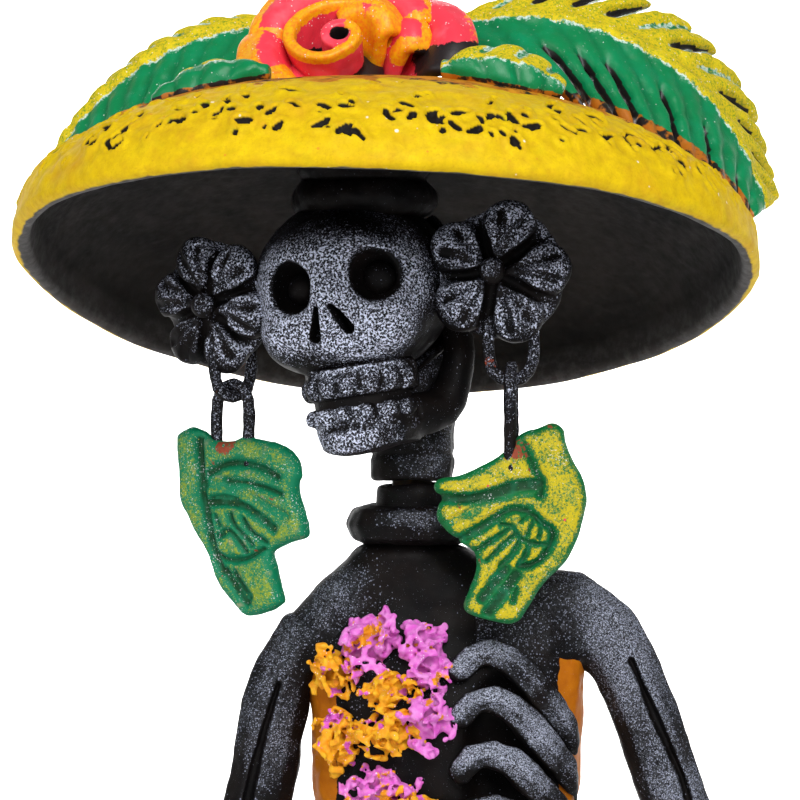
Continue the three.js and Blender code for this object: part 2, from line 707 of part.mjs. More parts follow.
// Later pieces are pressed onto earlier ones, so each gives way to those before it.
skirt.flowers.forEach((flower) => fit(flower, skirt.shell));
fit(skirt.ruffle, skirt.shell);
fit(skirt.sash, skirt.shell, torso.body);
fit(torso.collar, torso.body);
torso.ribs.forEach((bone, i) => fit(bone, torso.body, ...torso.ribs.slice(0, i)));
torso.limbs.forEach(({ upper: limb, palm }) => {
  fit(limb, torso.body, skirt.shell);
  fit(palm, limb, skirt.shell);
});
torso.tufts.forEach((tuft, i) =>
  fit(tuft, torso.body, torso.limbs[1].upper, ...torso.ribs, ...torso.tufts.slice(0, i)),
);
fit(head.neck, head.skull);
fit(head.jaw, head.skull, head.neck);
head.eyes.forEach((ball) => fit(ball, head.skull));
fit(hat.bowl, head.skull);
fit(head.roll, head.skull, hat.bowl);
fit(head.back, head.skull, head.neck, head.jaw, head.roll, hat.bowl);
earrings.forEach(({ flower, centre, ring, hook, bird }) => {
  fit(flower, head.skull, head.jaw, head.back, hat.bowl, ring);
  fit(centre, flower);
  fit(bird, hook);
});
fit(hat.bud, hat.bowl);
hat.petals.forEach((petal, i) => fit(petal, hat.bowl, hat.bud, ...hat.petals.slice(0, i)));
hat.leaves.forEach((leaf, i) => fit(leaf, hat.bowl, hat.bud, ...hat.petals, ...hat.leaves.slice(0, i)));

// The origin is the centre of the bounding box, at the level of the hem.
const box = new THREE.Box3().setFromObject(figure, true);
figure.position.set(-(box.min.x + box.max.x) / 2, -(box.min.y + box.max.y) / 2, -box.min.z);

export default figure;
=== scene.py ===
"""The looks of a hand-built, painted clay catrina.

Shapes are worked in millimetres in the row frame's directions and written to Blender in metres. She faces -Y;
left and right are her own.
"""

import math

import bpy
import numpy as np
import openvdb
from mathutils import Matrix, Vector


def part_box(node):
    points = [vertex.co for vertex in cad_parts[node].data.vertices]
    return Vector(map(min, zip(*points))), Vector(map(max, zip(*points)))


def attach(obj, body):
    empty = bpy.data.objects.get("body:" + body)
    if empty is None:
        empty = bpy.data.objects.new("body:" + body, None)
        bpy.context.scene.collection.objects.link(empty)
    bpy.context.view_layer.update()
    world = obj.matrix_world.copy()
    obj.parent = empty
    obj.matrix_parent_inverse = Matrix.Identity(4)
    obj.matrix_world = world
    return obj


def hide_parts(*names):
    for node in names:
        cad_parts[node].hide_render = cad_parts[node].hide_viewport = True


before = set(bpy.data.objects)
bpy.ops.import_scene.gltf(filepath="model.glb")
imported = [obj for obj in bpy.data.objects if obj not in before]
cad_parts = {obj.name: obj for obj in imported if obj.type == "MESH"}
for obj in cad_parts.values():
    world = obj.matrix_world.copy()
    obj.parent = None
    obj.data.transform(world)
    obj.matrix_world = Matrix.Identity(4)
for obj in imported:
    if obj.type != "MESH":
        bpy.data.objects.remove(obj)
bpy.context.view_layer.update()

MM = 0.001
# A distance farther than any that matters, and a length too short to matter.
FAR = 40.0
TINY = 1e-9

# ---------------------------------------------------------------- where things stand, as in the frame


def centre_of(node):
    low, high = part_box(node)
    return (low + high) * 0.5 / MM


def corners_of(node):
    return [np.array(corner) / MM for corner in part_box(node)]


def place(at, *turns):
    """A matrix in millimetres: a shift, then turns about axes in degrees."""
    m = Matrix.Translation(Vector(at))
    for axis, degrees in turns:
        m = m @ Matrix.Rotation(math.radians(degrees), 4, axis)
    return m


PEG_X = 3.4
peg = centre_of("neck_peg")
SHIFT = Matrix.Translation(Vector((peg.x - PEG_X, peg.y, 0)))
HEAD = SHIFT @ place((-8, -13, 337), ("Y", -8.5), ("Z", -20))
HAT = SHIFT @ place((-2.4, -7, 340), ("Y", 2.3), ("X", -16))
ROSE = SHIFT @ place((-9.2, -28.5, 376.0), ("Y", -6), ("X", 47))
FLOWERS = {
    "left": SHIFT @ place((21.8, -26, 339.3), ("Z", -4)),
    "right": SHIFT @ place((-39, -12, 333), ("Y", -10), ("Z", -36)),
}
BIRDS = {
    "left": SHIFT @ place((24, -26, 302.05), ("Z", 2)),
    "right": SHIFT @ place((-34.8, -11, 303.35), ("Z", -26)),
}
HAT_RADIUS = 80.0
HAT_HEIGHT = 34.5
HAT_WALL = 4.2
# How far the rim goes up at the sides and down at the front and back.
HAT_WAVE = 2.8
# How deep the leaves and the rose are pressed into the hat.
PRESSED = 1.7
CHEST_X = 11.0
SKIRT_X = 8.0

# ---------------------------------------------------------------- noise


def cell_corners(base, share):
    """For each of the eight corners of the points' cells: how much it counts, and its place in the grid."""
    for corner in range(8):
        bit = [(corner >> k) & 1 for k in range(3)]
        weight = np.ones(len(share), np.float32)
        for k in range(3):
            weight *= share[:, k] if bit[k] else 1 - share[:, k]
        yield weight, [base[:, k] + bit[k] for k in range(3)]


class Noise:
    """Smooth random values between -1 and 1 in space, the same on every run."""

    def __init__(self, seed, size=24):
        self.size = size
        self.lattice = np.random.default_rng(seed).random((size, size, size), dtype=np.float32) * 2 - 1

    def __call__(self, points, scale, octaves=1, gain=0.5):
        total = np.zeros(len(points), np.float32)
        weight = 1.0
        for _ in range(octaves):
            total += weight * self._one(points / scale)
            scale *= 0.5
            weight *= gain
        return total

    def _one(self, p):
        base = np.floor(p).astype(np.int64)
        f = (p - base).astype(np.float32)
        f = f * f * (3 - 2 * f)
        out = np.zeros(len(p), np.float32)
        for weight, (i, j, k) in cell_corners(base, f):
            out += weight * self.lattice[i % self.size, j % self.size, k % self.size]
        return out


lumps = Noise(3)
grain = Noise(11)
patches = Noise(29)


def ramp(x, low, high):
    """0 below low, 1 above high, smooth between. low may be the greater."""
    t = np.clip((x - low) / (high - low), 0, 1)
    return t * t * (3 - 2 * t)


def above_dome(points):
    """How far points in the hat's own frame are above the outside of the hat."""
    x, y, z = np.array(points).T
    share = np.hypot(x, y) / HAT_RADIUS
    dome = HAT_HEIGHT * np.sqrt(np.clip(1 - share**2, 0, 1))
    return z - dome - HAT_WAVE * np.minimum(share, 1) ** 2 * np.cos(2 * np.arctan2(y, x))


# ---------------------------------------------------------------- clay worked as a distance field


def smooth_min(a, b, k):
    """The lesser of two distances, rounded over k where they meet."""
    if k <= 0:
        return np.minimum(a, b)
    h = np.maximum(k - np.abs(a - b), 0) / k
    return np.minimum(a, b) - h * h * k * 0.25


def rounded(u, v, radius):
    """The distance to a corner between two faces, rounded by radius, from the distances to the faces."""
    u, v = u + radius, v + radius
    return np.minimum(np.maximum(u, v), 0) + np.hypot(np.maximum(u, 0), np.maximum(v, 0)) - radius


def to_segment(x, y, a, b):
    """Points of a plane and a segment: how far each is from it, and where it is along it (0 to 1)."""
    ab = b - a
    t = np.clip(((x - a[0]) * ab[0] + (y - a[1]) * ab[1]) / max(ab @ ab, TINY), 0, 1)
    return np.hypot(x - a[0] - ab[0] * t, y - a[1] - ab[1] * t), t


class Shape:
    """A solid: the corners of a box round it and its distance function of X, Y, Z."""

    def __init__(self, low, high, distance):
        self.low = np.array(low, float)
        self.high = np.array(high, float)
        self.distance = distance


def ellipsoid(centre, radii, turn=None):
    """turn is a 3x3 matrix whose columns are the ellipsoid's own axes."""
    half = np.array(radii if turn is None else [max(radii)] * 3, float)
    centre = np.array(centre, float)

    def distance(x, y, z):
        x, y, z = x - centre[0], y - centre[1], z - centre[2]
        if turn is not None:
            x, y, z = (x * turn[0][k] + y * turn[1][k] + z * turn[2][k] for k in range(3))
        a = np.sqrt((x / radii[0]) ** 2 + (y / radii[1]) ** 2 + (z / radii[2]) ** 2)
        b = np.sqrt((x / radii[0] ** 2) ** 2 + (y / radii[1] ** 2) ** 2 + (z / radii[2] ** 2) ** 2)
        return a * (a - 1) / np.maximum(b, 1e-6)

    return Shape(centre - half, centre + half, distance)


def coil(points, radii, flat=(1, 1, 1)):
    """A rolled coil through points, with a radius at each."""
    points = np.array(points, float)
    radii = np.interp(np.linspace(0, 1, len(points)), np.linspace(0, 1, len(radii)), radii)
    flat = np.array(flat, float)

    def distance(x, y, z):
        best = None
        for a, b, ra, rb in zip(points[:-1], points[1:], radii[:-1], radii[1:]):
            ab = (b - a) * flat
            px, py, pz = (x - a[0]) * flat[0], (y - a[1]) * flat[1], (z - a[2]) * flat[2]
            t = np.clip((px * ab[0] + py * ab[1] + pz * ab[2]) / max(ab @ ab, TINY), 0, 1)
            off = np.sqrt((px - ab[0] * t) ** 2 + (py - ab[1] * t) ** 2 + (pz - ab[2] * t) ** 2)
            d = off - (ra + (rb - ra) * t)
            best = d if best is None else np.minimum(best, d)
        return best

    reach = (max(radii) + 1.6) / min(flat) if min(flat) < 1 else max(radii)
    return Shape(points.min(0) - reach, points.max(0) + reach, distance)


def curve(points, steps):
    """A smooth curve through points, as steps + 1 points (Catmull-Rom)."""
    p = np.array(points, float)
    p = np.vstack([2 * p[0] - p[1], p, 2 * p[-1] - p[-2]])
    out = []
    for t in np.linspace(0, len(p) - 3, steps + 1):
        i = min(int(t), len(p) - 4)
        u = t - i
        a, b, c, d = p[i : i + 4]
        square, cube = 2 * a - 5 * b + 4 * c - d, 3 * b - a - 3 * c + d
        out.append(0.5 * (2 * b + (c - a) * u + square * u**2 + cube * u**3))
    return np.array(out)


def node_mesh(node):
    """A frame node's points in millimetres, each once, and its triangles."""
    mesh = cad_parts[node].data
    mesh.calc_loop_triangles()
    co = np.zeros(len(mesh.vertices) * 3, np.float32)
    mesh.vertices.foreach_get("co", co)
    tris = np.zeros(len(mesh.loop_triangles) * 3, np.int32)
    mesh.loop_triangles.foreach_get("vertices", tris)
    points, index = np.unique(np.round(co.reshape(-1, 3) / MM, 4), axis=0, return_inverse=True)
    return points, index.reshape(-1)[tris].reshape(-1, 3)


class Clay:
    """A block of space in millimetres in which clay is added, cut and engraved."""

    def __init__(self, low, high, step):
        self.step = step
        self.low = np.array(low, float)
        counts = np.ceil((np.array(high, float) - self.low) / step).astype(int) + 1
        self.field = np.full(tuple(counts), FAR, np.float32)

    @classmethod
    def of_polygons(cls, points, triangles, quads, step, swell=0.0, margin=3.0):
        """The solid inside a closed mesh, swelled outwards."""
        points = np.array(points, float)
        block = cls(points.min(0) - margin - swell, points.max(0) + margin + swell, step)
        local = ((points - block.low) / step).astype(np.float32)
        band = math.ceil((swell + 2.4) / step) + 1
        grid = openvdb.FloatGrid.createLevelSetFromPolygons(
            local,
            triangles=None if triangles is None else np.array(triangles, np.uint32),
            quads=None if quads is None else np.array(quads, np.uint32),
            halfWidth=float(band),
        )
        grid.copyToArray(block.field)
        block.field *= step
        block.field -= swell
        return block

    @classmethod
    def of_node(cls, node, step, swell=0.0, margin=3.0):
        points, triangles = node_mesh(node)
        return cls.of_polygons(points, triangles, None, step, swell, margin)

    def distance_to(self, node, reach):
        """The distance field of a frame node over this block, true up to reach."""
        points, triangles = node_mesh(node)
        grid = openvdb.FloatGrid.createLevelSetFromPolygons(
            ((points - self.low) / self.step).astype(np.float32),
            triangles=triangles.astype(np.uint32),
            halfWidth=float(math.ceil(reach / self.step) + 1),
        )
        other = np.zeros_like(self.field)
        grid.copyToArray(other)
        return other * self.step

    def window(self, low, high, margin):
        """The part of the block round a box: its slices and its cells' places, or None twice."""
        a = np.maximum(np.floor((low - margin - self.low) / self.step).astype(int), 0)
        b = np.minimum(np.ceil((high + margin - self.low) / self.step).astype(int) + 1, self.field.shape)
        if (b <= a).any():
            return None, None
        axes = [self.low[k] + self.step * np.arange(a[k], b[k], dtype=np.float32) for k in range(3)]
        return tuple(slice(a[k], b[k]) for k in range(3)), np.meshgrid(*axes, indexing="ij", sparse=True)

    def add(self, shape, k=0.0):
        where, xyz = self.window(shape.low, shape.high, max(k, 2.0))
        if where:
            self.field[where] = smooth_min(self.field[where], shape.distance(*xyz), k)

    def cut(self, shape, k=0.0):
        where, xyz = self.window(shape.low, shape.high, max(k, 2.0))
        if where:
            self.field[where] = -smooth_min(-self.field[where], shape.distance(*xyz), k)

    def engrave(self, shape, depth, width):
        """Presses the surface in by depth near a thin shape, fading over width."""
        where, xyz = self.window(shape.low, shape.high, width + 0.5)
        if where:
            near = np.clip(1 - shape.distance(*xyz) / width, 0, 1)
            self.field[where] += depth * near * near * (3 - 2 * near)

    def blurred(self, radius, clip):
        """The field, held within clip, after two passes of a moving mean along each axis."""
        n = max(1, int(round(radius / self.step / 1.7)))
        field = np.clip(self.field, -clip, clip)
        for axis in (0, 1, 2, 0, 1, 2):
            pad = [(n + 1, n) if k == axis else (0, 0) for k in range(3)]
            total = np.cumsum(np.pad(field, pad, mode="edge"), axis=axis, dtype=np.float64)
            length = field.shape[axis]
            upper = np.take(total, range(2 * n + 1, 2 * n + 1 + length), axis=axis)
            lower = np.take(total, range(0, length), axis=axis)
            field = ((upper - lower) / (2 * n + 1)).astype(np.float32)
        return field

    def soften(self, radius):
        self.field = self.blurred(radius, clip=max(3 * radius, 2.0))

    def places(self):
        """The middle of every cell, one row each."""
        axes = [self.low[k] + self.step * np.arange(self.field.shape[k], dtype=np.float32) for k in range(3)]
        return np.stack(np.meshgrid(*axes, indexing="ij"), 3).reshape(-1, 3)

    def fill(self, inside, values, outside):
        """Sets the cells, in the order of places(): values where inside is true, outside elsewhere."""
        flat = np.full(inside.shape, outside, np.float32)
        flat[inside] = values
        self.field = flat.reshape(self.field.shape)

    def rest_on_hat(self, to_hat):
        """Takes away the clay below the outside of the hat, less the little that it is pressed in."""
        height = above_dome(moved(to_hat, self.places()))
        under = (-0.8 * (height + PRESSED)).astype(np.float32).reshape(self.field.shape)
        self.field = np.maximum(self.field, under)

    def sample(self, field, points):
        """The values of a field of this block at points anywhere in it."""
        p = (points - self.low) / self.step
        p = np.clip(p, 0, np.array(field.shape) - 1.001)
        base = p.astype(np.int64)
        f = (p - base).astype(np.float32)
        out = np.zeros(len(p), np.float32)
        for weight, (i, j, k) in cell_corners(base, f):
            out += weight * field[i, j, k]
        return out

    def surface(self, ridge_radius=1.2):
        """(points, triangles, quads, how far each point stands out as a ridge)."""
        grid = openvdb.FloatGrid(FAR)
        grid.copyFromArray(self.field)
        points, triangles, quads = grid.convertToPolygons(0.0, 0.0)
        points = points.astype(np.float64) * self.step + self.low
        points, triangles, quads = largest_part(points, triangles, quads)
        ridge = self.sample(self.blurred(ridge_radius, clip=2.5 * ridge_radius), points) / ridge_radius
        return points, triangles, quads, ridge


def largest_part(points, triangles, quads):
    """The largest connected part of a mesh, so that no crumb is left floating."""
    pairs = [quads[:, [k, (k + 1) % 4]] for k in range(4)]
    if len(triangles):
        pairs += [triangles[:, [k, (k + 1) % 3]] for k in range(3)]
    pairs = np.vstack(pairs).astype(np.int64)
    label = np.arange(len(points))
    while True:
        lowest = np.minimum(label[pairs[:, 0]], label[pairs[:, 1]])
        fresh = label.copy()
        np.minimum.at(fresh, label[pairs[:, 0]], lowest)
        np.minimum.at(fresh, label[pairs[:, 1]], lowest)
        fresh = fresh[fresh]
        if (fresh == label).all():
            break
        label = fresh
    kept = label == np.bincount(label).argmax()
    if kept.all():
        return points, triangles, quads
    index = np.cumsum(kept) - 1
    triangles = index[triangles[kept[triangles[:, 0]]]] if len(triangles) else triangles
    return points[kept], triangles, index[quads[kept[quads[:, 0]]]]


def normals_of(points, triangles, quads):
    normals = np.zeros_like(points)
    for faces in (triangles, quads):
        if faces is None or len(faces) == 0:
            continue
        p = points[faces]
        if faces.shape[1] == 4:
            n = np.cross(p[:, 2] - p[:, 0], p[:, 3] - p[:, 1])
        else:
            n = np.cross(p[:, 1] - p[:, 0], p[:, 2] - p[:, 0])
        for k in range(faces.shape[1]):
            np.add.at(normals, faces[:, k], n)
    return normals / np.maximum(np.linalg.norm(normals, axis=1, keepdims=True), TINY)


def moved(matrix, points):
    m = np.array(matrix)
    return points @ m[:3, :3].T + m[:3, 3]


def way_along(path):
    """How far along a path each of its points is."""
    return np.concatenate([[0], np.cumsum(np.linalg.norm(np.diff(path, axis=0), axis=1))])


def lathe_faces(points, rows, columns):
    """Faces round a shape of rows of columns points, with a fan at each end: (points, triangles, quads)."""
    index = np.arange(rows * columns).reshape(rows, columns)
    right = np.roll(index, -1, axis=1)
    quads = np.stack([index[:-1], index[1:], right[1:], right[:-1]], 2).reshape(-1, 4)
    fans = []
    for row, turn in ((index[0], 1), (index[-1], -1)):
        fan = np.stack([np.full(columns, len(points)), row, np.roll(row, -1)], 1)
        fans.append(fan[:, ::turn])
        points = np.vstack([points, points[row].mean(0)])
    return points, np.vstack(fans), quads


def turned_out(points, triangles, quads, axis):
    """The faces, turned so that the farthest point along an axis has its normal that way."""
    far = np.argmax(points[:, axis])
    if normals_of(points, triangles, quads)[far][axis] < 0:
        return triangles[:, ::-1], quads[:, ::-1]
    return triangles, quads


# ---------------------------------------------------------------- pieces


def write_piece(name, points, triangles, quads, body, nodes, look, marks):
    """A Blender object from points in millimetres in the row frame, with its marks as point attributes."""
    mesh = bpy.data.meshes.new(name)
    faces = [f for f in (triangles, quads) if f is not None and len(f)]
    loops = np.concatenate([f.reshape(-1) for f in faces]).astype(np.int32)
    sizes = np.concatenate([np.full(len(f), f.shape[1]) for f in faces])
    mesh.vertices.add(len(points))
    mesh.vertices.foreach_set("co", (points * MM).astype(np.float32).ravel())
    mesh.loops.add(len(loops))
    mesh.loops.foreach_set("vertex_index", loops)
    mesh.polygons.add(len(sizes))
    mesh.polygons.foreach_set("loop_start", np.concatenate([[0], np.cumsum(sizes)[:-1]]).astype(np.int32))
    mesh.polygons.foreach_set("use_smooth", np.ones(len(sizes), bool))
    mesh.update(calc_edges=True)
    mesh.validate()
    for key, values in marks.items():
        attribute = mesh.attributes.new(key, "FLOAT", "POINT")
        attribute.data.foreach_set("value", np.asarray(values, np.float32))
    mesh.materials.append(look)
    piece = bpy.data.objects.new(name, mesh)
    bpy.context.scene.collection.objects.link(piece)
    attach(piece, body)
    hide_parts(*nodes)
    return piece


SPRAY_FROM = np.array([0.06, -0.88, 0.47])


def spray_marks(points, normals, ridge, amount=1.0, bias=0.0, toward=SPRAY_FROM):
    """Where the white spray lies: on what faces the front, in drifts, and not in the hollows."""
    facing = normals @ toward
    drift = 0.40 * patches(points, 16.0, 2) + 0.16 * lumps(points, 3.4)
    value = ramp(facing + drift + bias, 0.22, 1.08) * amount
    return np.clip(value * ramp(ridge, -0.40, 0.0), 0, 1)


def finish(clay, name, body, nodes, look, matrix=None, rough=((5, 0.18), (1.6, 0.07)), mark=None,
           spray=1.0, bias=0.0, ridge_radius=1.2):
    """Turns worked clay into a piece.

    rough holds (size, height) pairs of the hand's unevenness. mark(points, normals, ridge, local) may return more
    marks; local is the points in the clay's own frame.
    """
    local, triangles, quads, ridge = clay.surface(ridge_radius)
    points = local if matrix is None else moved(matrix, local)
    normals = normals_of(points, triangles, quads)
    centre = points.mean(0)
    if np.einsum("ij,ij->", normals, points - centre) < 0:
        normals = -normals
        triangles = triangles[:, ::-1] if len(triangles) else triangles
        quads = quads[:, ::-1]
    shift = np.zeros(len(points), np.float32)
    for size, height in rough:
        shift += height * lumps(points, size)
    points = points + normals * shift[:, None]
    marks = {"ridge": ridge, "spray": spray_marks(points, normals, ridge, spray, bias)}
    if mark:
        marks.update(mark(points, normals, ridge, local))
    return write_piece(name, points, triangles, quads, body, nodes, look, marks)


# ---------------------------------------------------------------- materials


class Look:
    """A procedural material. Texture space is millimetres in the row frame."""

    def __init__(self, name):
        self.material = bpy.data.materials.new(name)
        self.material.use_nodes = True
        self.tree = self.material.node_tree
        self.tree.nodes.clear()
        output = self.tree.nodes.new("ShaderNodeOutputMaterial")
        self.shader = self.tree.nodes.new("ShaderNodeBsdfPrincipled")
        self.tree.links.new(self.shader.outputs[0], output.inputs[0])
        coordinates = self.tree.nodes.new("ShaderNodeTexCoord")
        scale = self.tree.nodes.new("ShaderNodeMapping")
        scale.inputs["Scale"].default_value = (1 / MM, 1 / MM, 1 / MM)
        self.tree.links.new(coordinates.outputs["Object"], scale.inputs["Vector"])
        self.space = scale.outputs[0]

    def put(self, socket, value):
        if hasattr(value, "links"):
            self.tree.links.new(value, socket)
        elif isinstance(value, (tuple, list)) and len(value) == 3 and socket.type == "RGBA":
            socket.default_value = (*value, 1)
        else:
            socket.default_value = value

    def mark(self, name):
        node = self.tree.nodes.new("ShaderNodeAttribute")
        node.attribute_name = name
        return node.outputs["Fac"]

    def noise(self, size, detail=3.0, roughness=0.55, distortion=0.0):
        node = self.tree.nodes.new("ShaderNodeTexNoise")
        self.put(node.inputs["Vector"], self.space)
        node.inputs["Scale"].default_value = 1 / size
        node.inputs["Detail"].default_value = detail
        node.inputs["Roughness"].default_value = roughness
        node.inputs["Distortion"].default_value = distortion
        return node.outputs["Fac"]

    def math(self, kind, a, b=0.0, c=0.0):
        node = self.tree.nodes.new("ShaderNodeMath")
        node.operation = kind
        for socket, value in zip(node.inputs, (a, b, c)):
            self.put(socket, value)
        return node.outputs[0]

    def times(self, a, b):
        return self.math("MULTIPLY", a, b)

    def plus(self, a, b):
        return self.math("ADD", a, b)

    def span(self, value, low, high, to_low=0.0, to_high=1.0):
        """The value's way from low to high, held between them, put on the way from to_low to to_high."""
        node = self.tree.nodes.new("ShaderNodeMapRange")
        node.clamp = True
        for key, v in (("Value", value), ("From Min", low), ("From Max", high), ("To Min", to_low),
                       ("To Max", to_high)):
            self.put(node.inputs[key], v)
        return node.outputs[0]

    def mix(self, factor, a, b):
        """Colour a turning into colour b as factor goes from 0 to 1."""
        node = self.tree.nodes.new("ShaderNodeMix")
        node.data_type = "RGBA"
        self.put(node.inputs[0], factor)
        self.put(node.inputs[6], a)
        self.put(node.inputs[7], b)
        return node.outputs[2]

    def cover(self, color, where, strength, paint):
        """A colour with paint over it at a strength, where a value is high."""
        return self.mix(self.times(where, strength), color, paint)

    def dots(self, size, density, least=0.2, most=0.5):
        """Round specks: a share of the cells, given by density, holds one."""
        node = self.tree.nodes.new("ShaderNodeTexVoronoi")
        self.put(node.inputs["Vector"], self.space)
        node.inputs["Scale"].default_value = 1 / size
        split = self.tree.nodes.new("ShaderNodeSeparateColor")
        self.tree.links.new(node.outputs["Color"], split.inputs[0])
        there = self.math("LESS_THAN", split.outputs[0], density)
        radius = self.span(split.outputs[1], 0.0, 1.0, least, most)
        speck = self.span(node.outputs["Distance"], radius, self.times(radius, 0.65))
        return self.times(there, speck)

    def bump(self, height, distance, strength=1.0, before=None):
        node = self.tree.nodes.new("ShaderNodeBump")
        self.put(node.inputs["Height"], height)
        node.inputs["Distance"].default_value = distance * MM
        node.inputs["Strength"].default_value = strength
        if before is not None:
            self.put(node.inputs["Normal"], before)
        return node.outputs[0]

    def done(self, color, roughness, normal=None, specular=None):
        self.put(self.shader.inputs["Base Color"], color)
        self.put(self.shader.inputs["Roughness"], roughness)
        if normal is not None:
            self.put(self.shader.inputs["Normal"], normal)
        if specular is not None:
            self.shader.inputs["Specular IOR Level"].default_value = specular
        return self.material


BLACK = (0.0026, 0.0023, 0.0027)
BROWN_BLACK = (0.0062, 0.0040, 0.0034)
SPRAY = (0.50, 0.54, 0.72)
SPRAY_WHITE = (0.70, 0.75, 0.92)
CLAY_RED = (0.36, 0.062, 0.026)
YELLOW = (0.72, 0.50, 0.003)
YELLOW_DEEP = (0.56, 0.35, 0.003)
ORANGE_BROWN = (0.40, 0.115, 0.008)
PINK = (0.93, 0.062, 0.10)
PINK_SHADE = (0.60, 0.010, 0.030)
PETAL_YELLOW = (0.90, 0.42, 0.003)
EMERALD = (0.0005, 0.20, 0.062)
EMERALD_SHADE = (0.0, 0.065, 0.022)
LEAF_YELLOW = (0.64, 0.48, 0.003)
BIRD_GREEN = (0.001, 0.13, 0.030)
BIRD_DARK = (0.0, 0.040, 0.010)
BIRD_YELLOW = (0.54, 0.42, 0.004)
MUSTARD = (0.48, 0.145, 0.004)
MAGENTA = (0.66, 0.10, 0.54)
ORCHID = (0.76, 0.27, 0.66)
FLOWER_ORANGE = (0.78, 0.28, 0.003)


def black_clay(name, mustard=False, chips=True, grain=0.30, crust=0.50, haze_share=0.55, dot_share=0.45):
    """Black paint on clay under a drifting spray of white and lilac: a haze, a crust and fine dots."""
    look = Look(name)
    spray = look.mark("spray")
    ridge = look.mark("ridge")
    shade = look.mix(look.span(look.noise(7.0, 4), 0.4, 0.7), BLACK, BROWN_BLACK)
    # Painted light and shade: the black is lighter on the ridges and darkest in the hollows.
    base = look.mix(look.span(ridge, 0.15, 0.8), shade, (0.014, 0.013, 0.015))
    if mustard:
        edge = look.plus(look.mark("mustard"), look.span(look.noise(3.5, 5), 0.3, 0.7, -0.22, 0.22))
        paint = look.mix(look.span(look.noise(2.2, 4), 0.35, 0.75), MUSTARD, (0.40, 0.105, 0.004))
        # Painted shade: the mustard darkens to brown in the hollows.
        paint = look.mix(look.span(ridge, -0.15, -0.5), paint, (0.08, 0.022, 0.005))
        base = look.mix(look.span(edge, 0.46, 0.54), base, paint)
        spray = look.times(spray, look.span(edge, 0.54, 0.46, 0.06, 1.0))
    haze = look.times(look.span(spray, 0.12, 0.9), look.span(look.noise(0.8, 5, 0.7), 0.38, 0.70))
    base = look.cover(base, haze, haze_share, (0.24, 0.26, 0.31))
    clump = look.span(look.noise(1.3, 4, 0.65), 0.34, 0.66, 0.50, 1.35)
    thick = look.times(look.span(spray, 0.02, 0.85, 0.002, 0.95), clump)
    fine = look.dots(0.33, thick, 0.30, 0.62)
    base = look.cover(base, fine, dot_share, SPRAY)
    grit = look.plus(look.noise(grain, 3, 0.62), look.times(spray, 0.19))
    coarse = look.span(grit, 0.69, 0.75)
    base = look.cover(base, coarse, crust, SPRAY_WHITE)
    stray = look.dots(2.1, 0.012, 0.05, 0.10)
    base = look.cover(base, stray, 0.7, SPRAY_WHITE)
    if chips:
        ragged = look.span(look.noise(0.9, 5, 0.7), 0.3, 0.7, -0.3, 0.3)
        bare = look.span(look.plus(look.mark("chip"), ragged), 0.55, 0.62)
        base = look.mix(bare, base, look.mix(look.noise(0.8, 3), CLAY_RED, (0.16, 0.028, 0.014)))
    specks = look.plus(look.times(fine, 0.5), coarse)
    normal = look.bump(look.noise(1.3, 6, 0.62), 0.16, 0.55)
    normal = look.bump(specks, 0.06, 0.6, normal)
    rough = look.span(look.plus(specks, look.noise(4.0, 3)), 0.3, 1.4, 0.50, 0.85)
    return look.done(base, rough, normal, 0.11)


def bristled(look, size, stretch):
    """Streaks left by a brush, as a value from 0 to 1."""
    node = look.tree.nodes.new("ShaderNodeMapping")
    node.inputs["Scale"].default_value = stretch
    look.put(node.inputs["Vector"], look.space)
    texture = look.tree.nodes.new("ShaderNodeTexNoise")
    look.put(texture.inputs["Vector"], node.outputs[0])
    texture.inputs["Scale"].default_value = 1 / size
    texture.inputs["Detail"].default_value = 4
    return texture.outputs["Fac"]


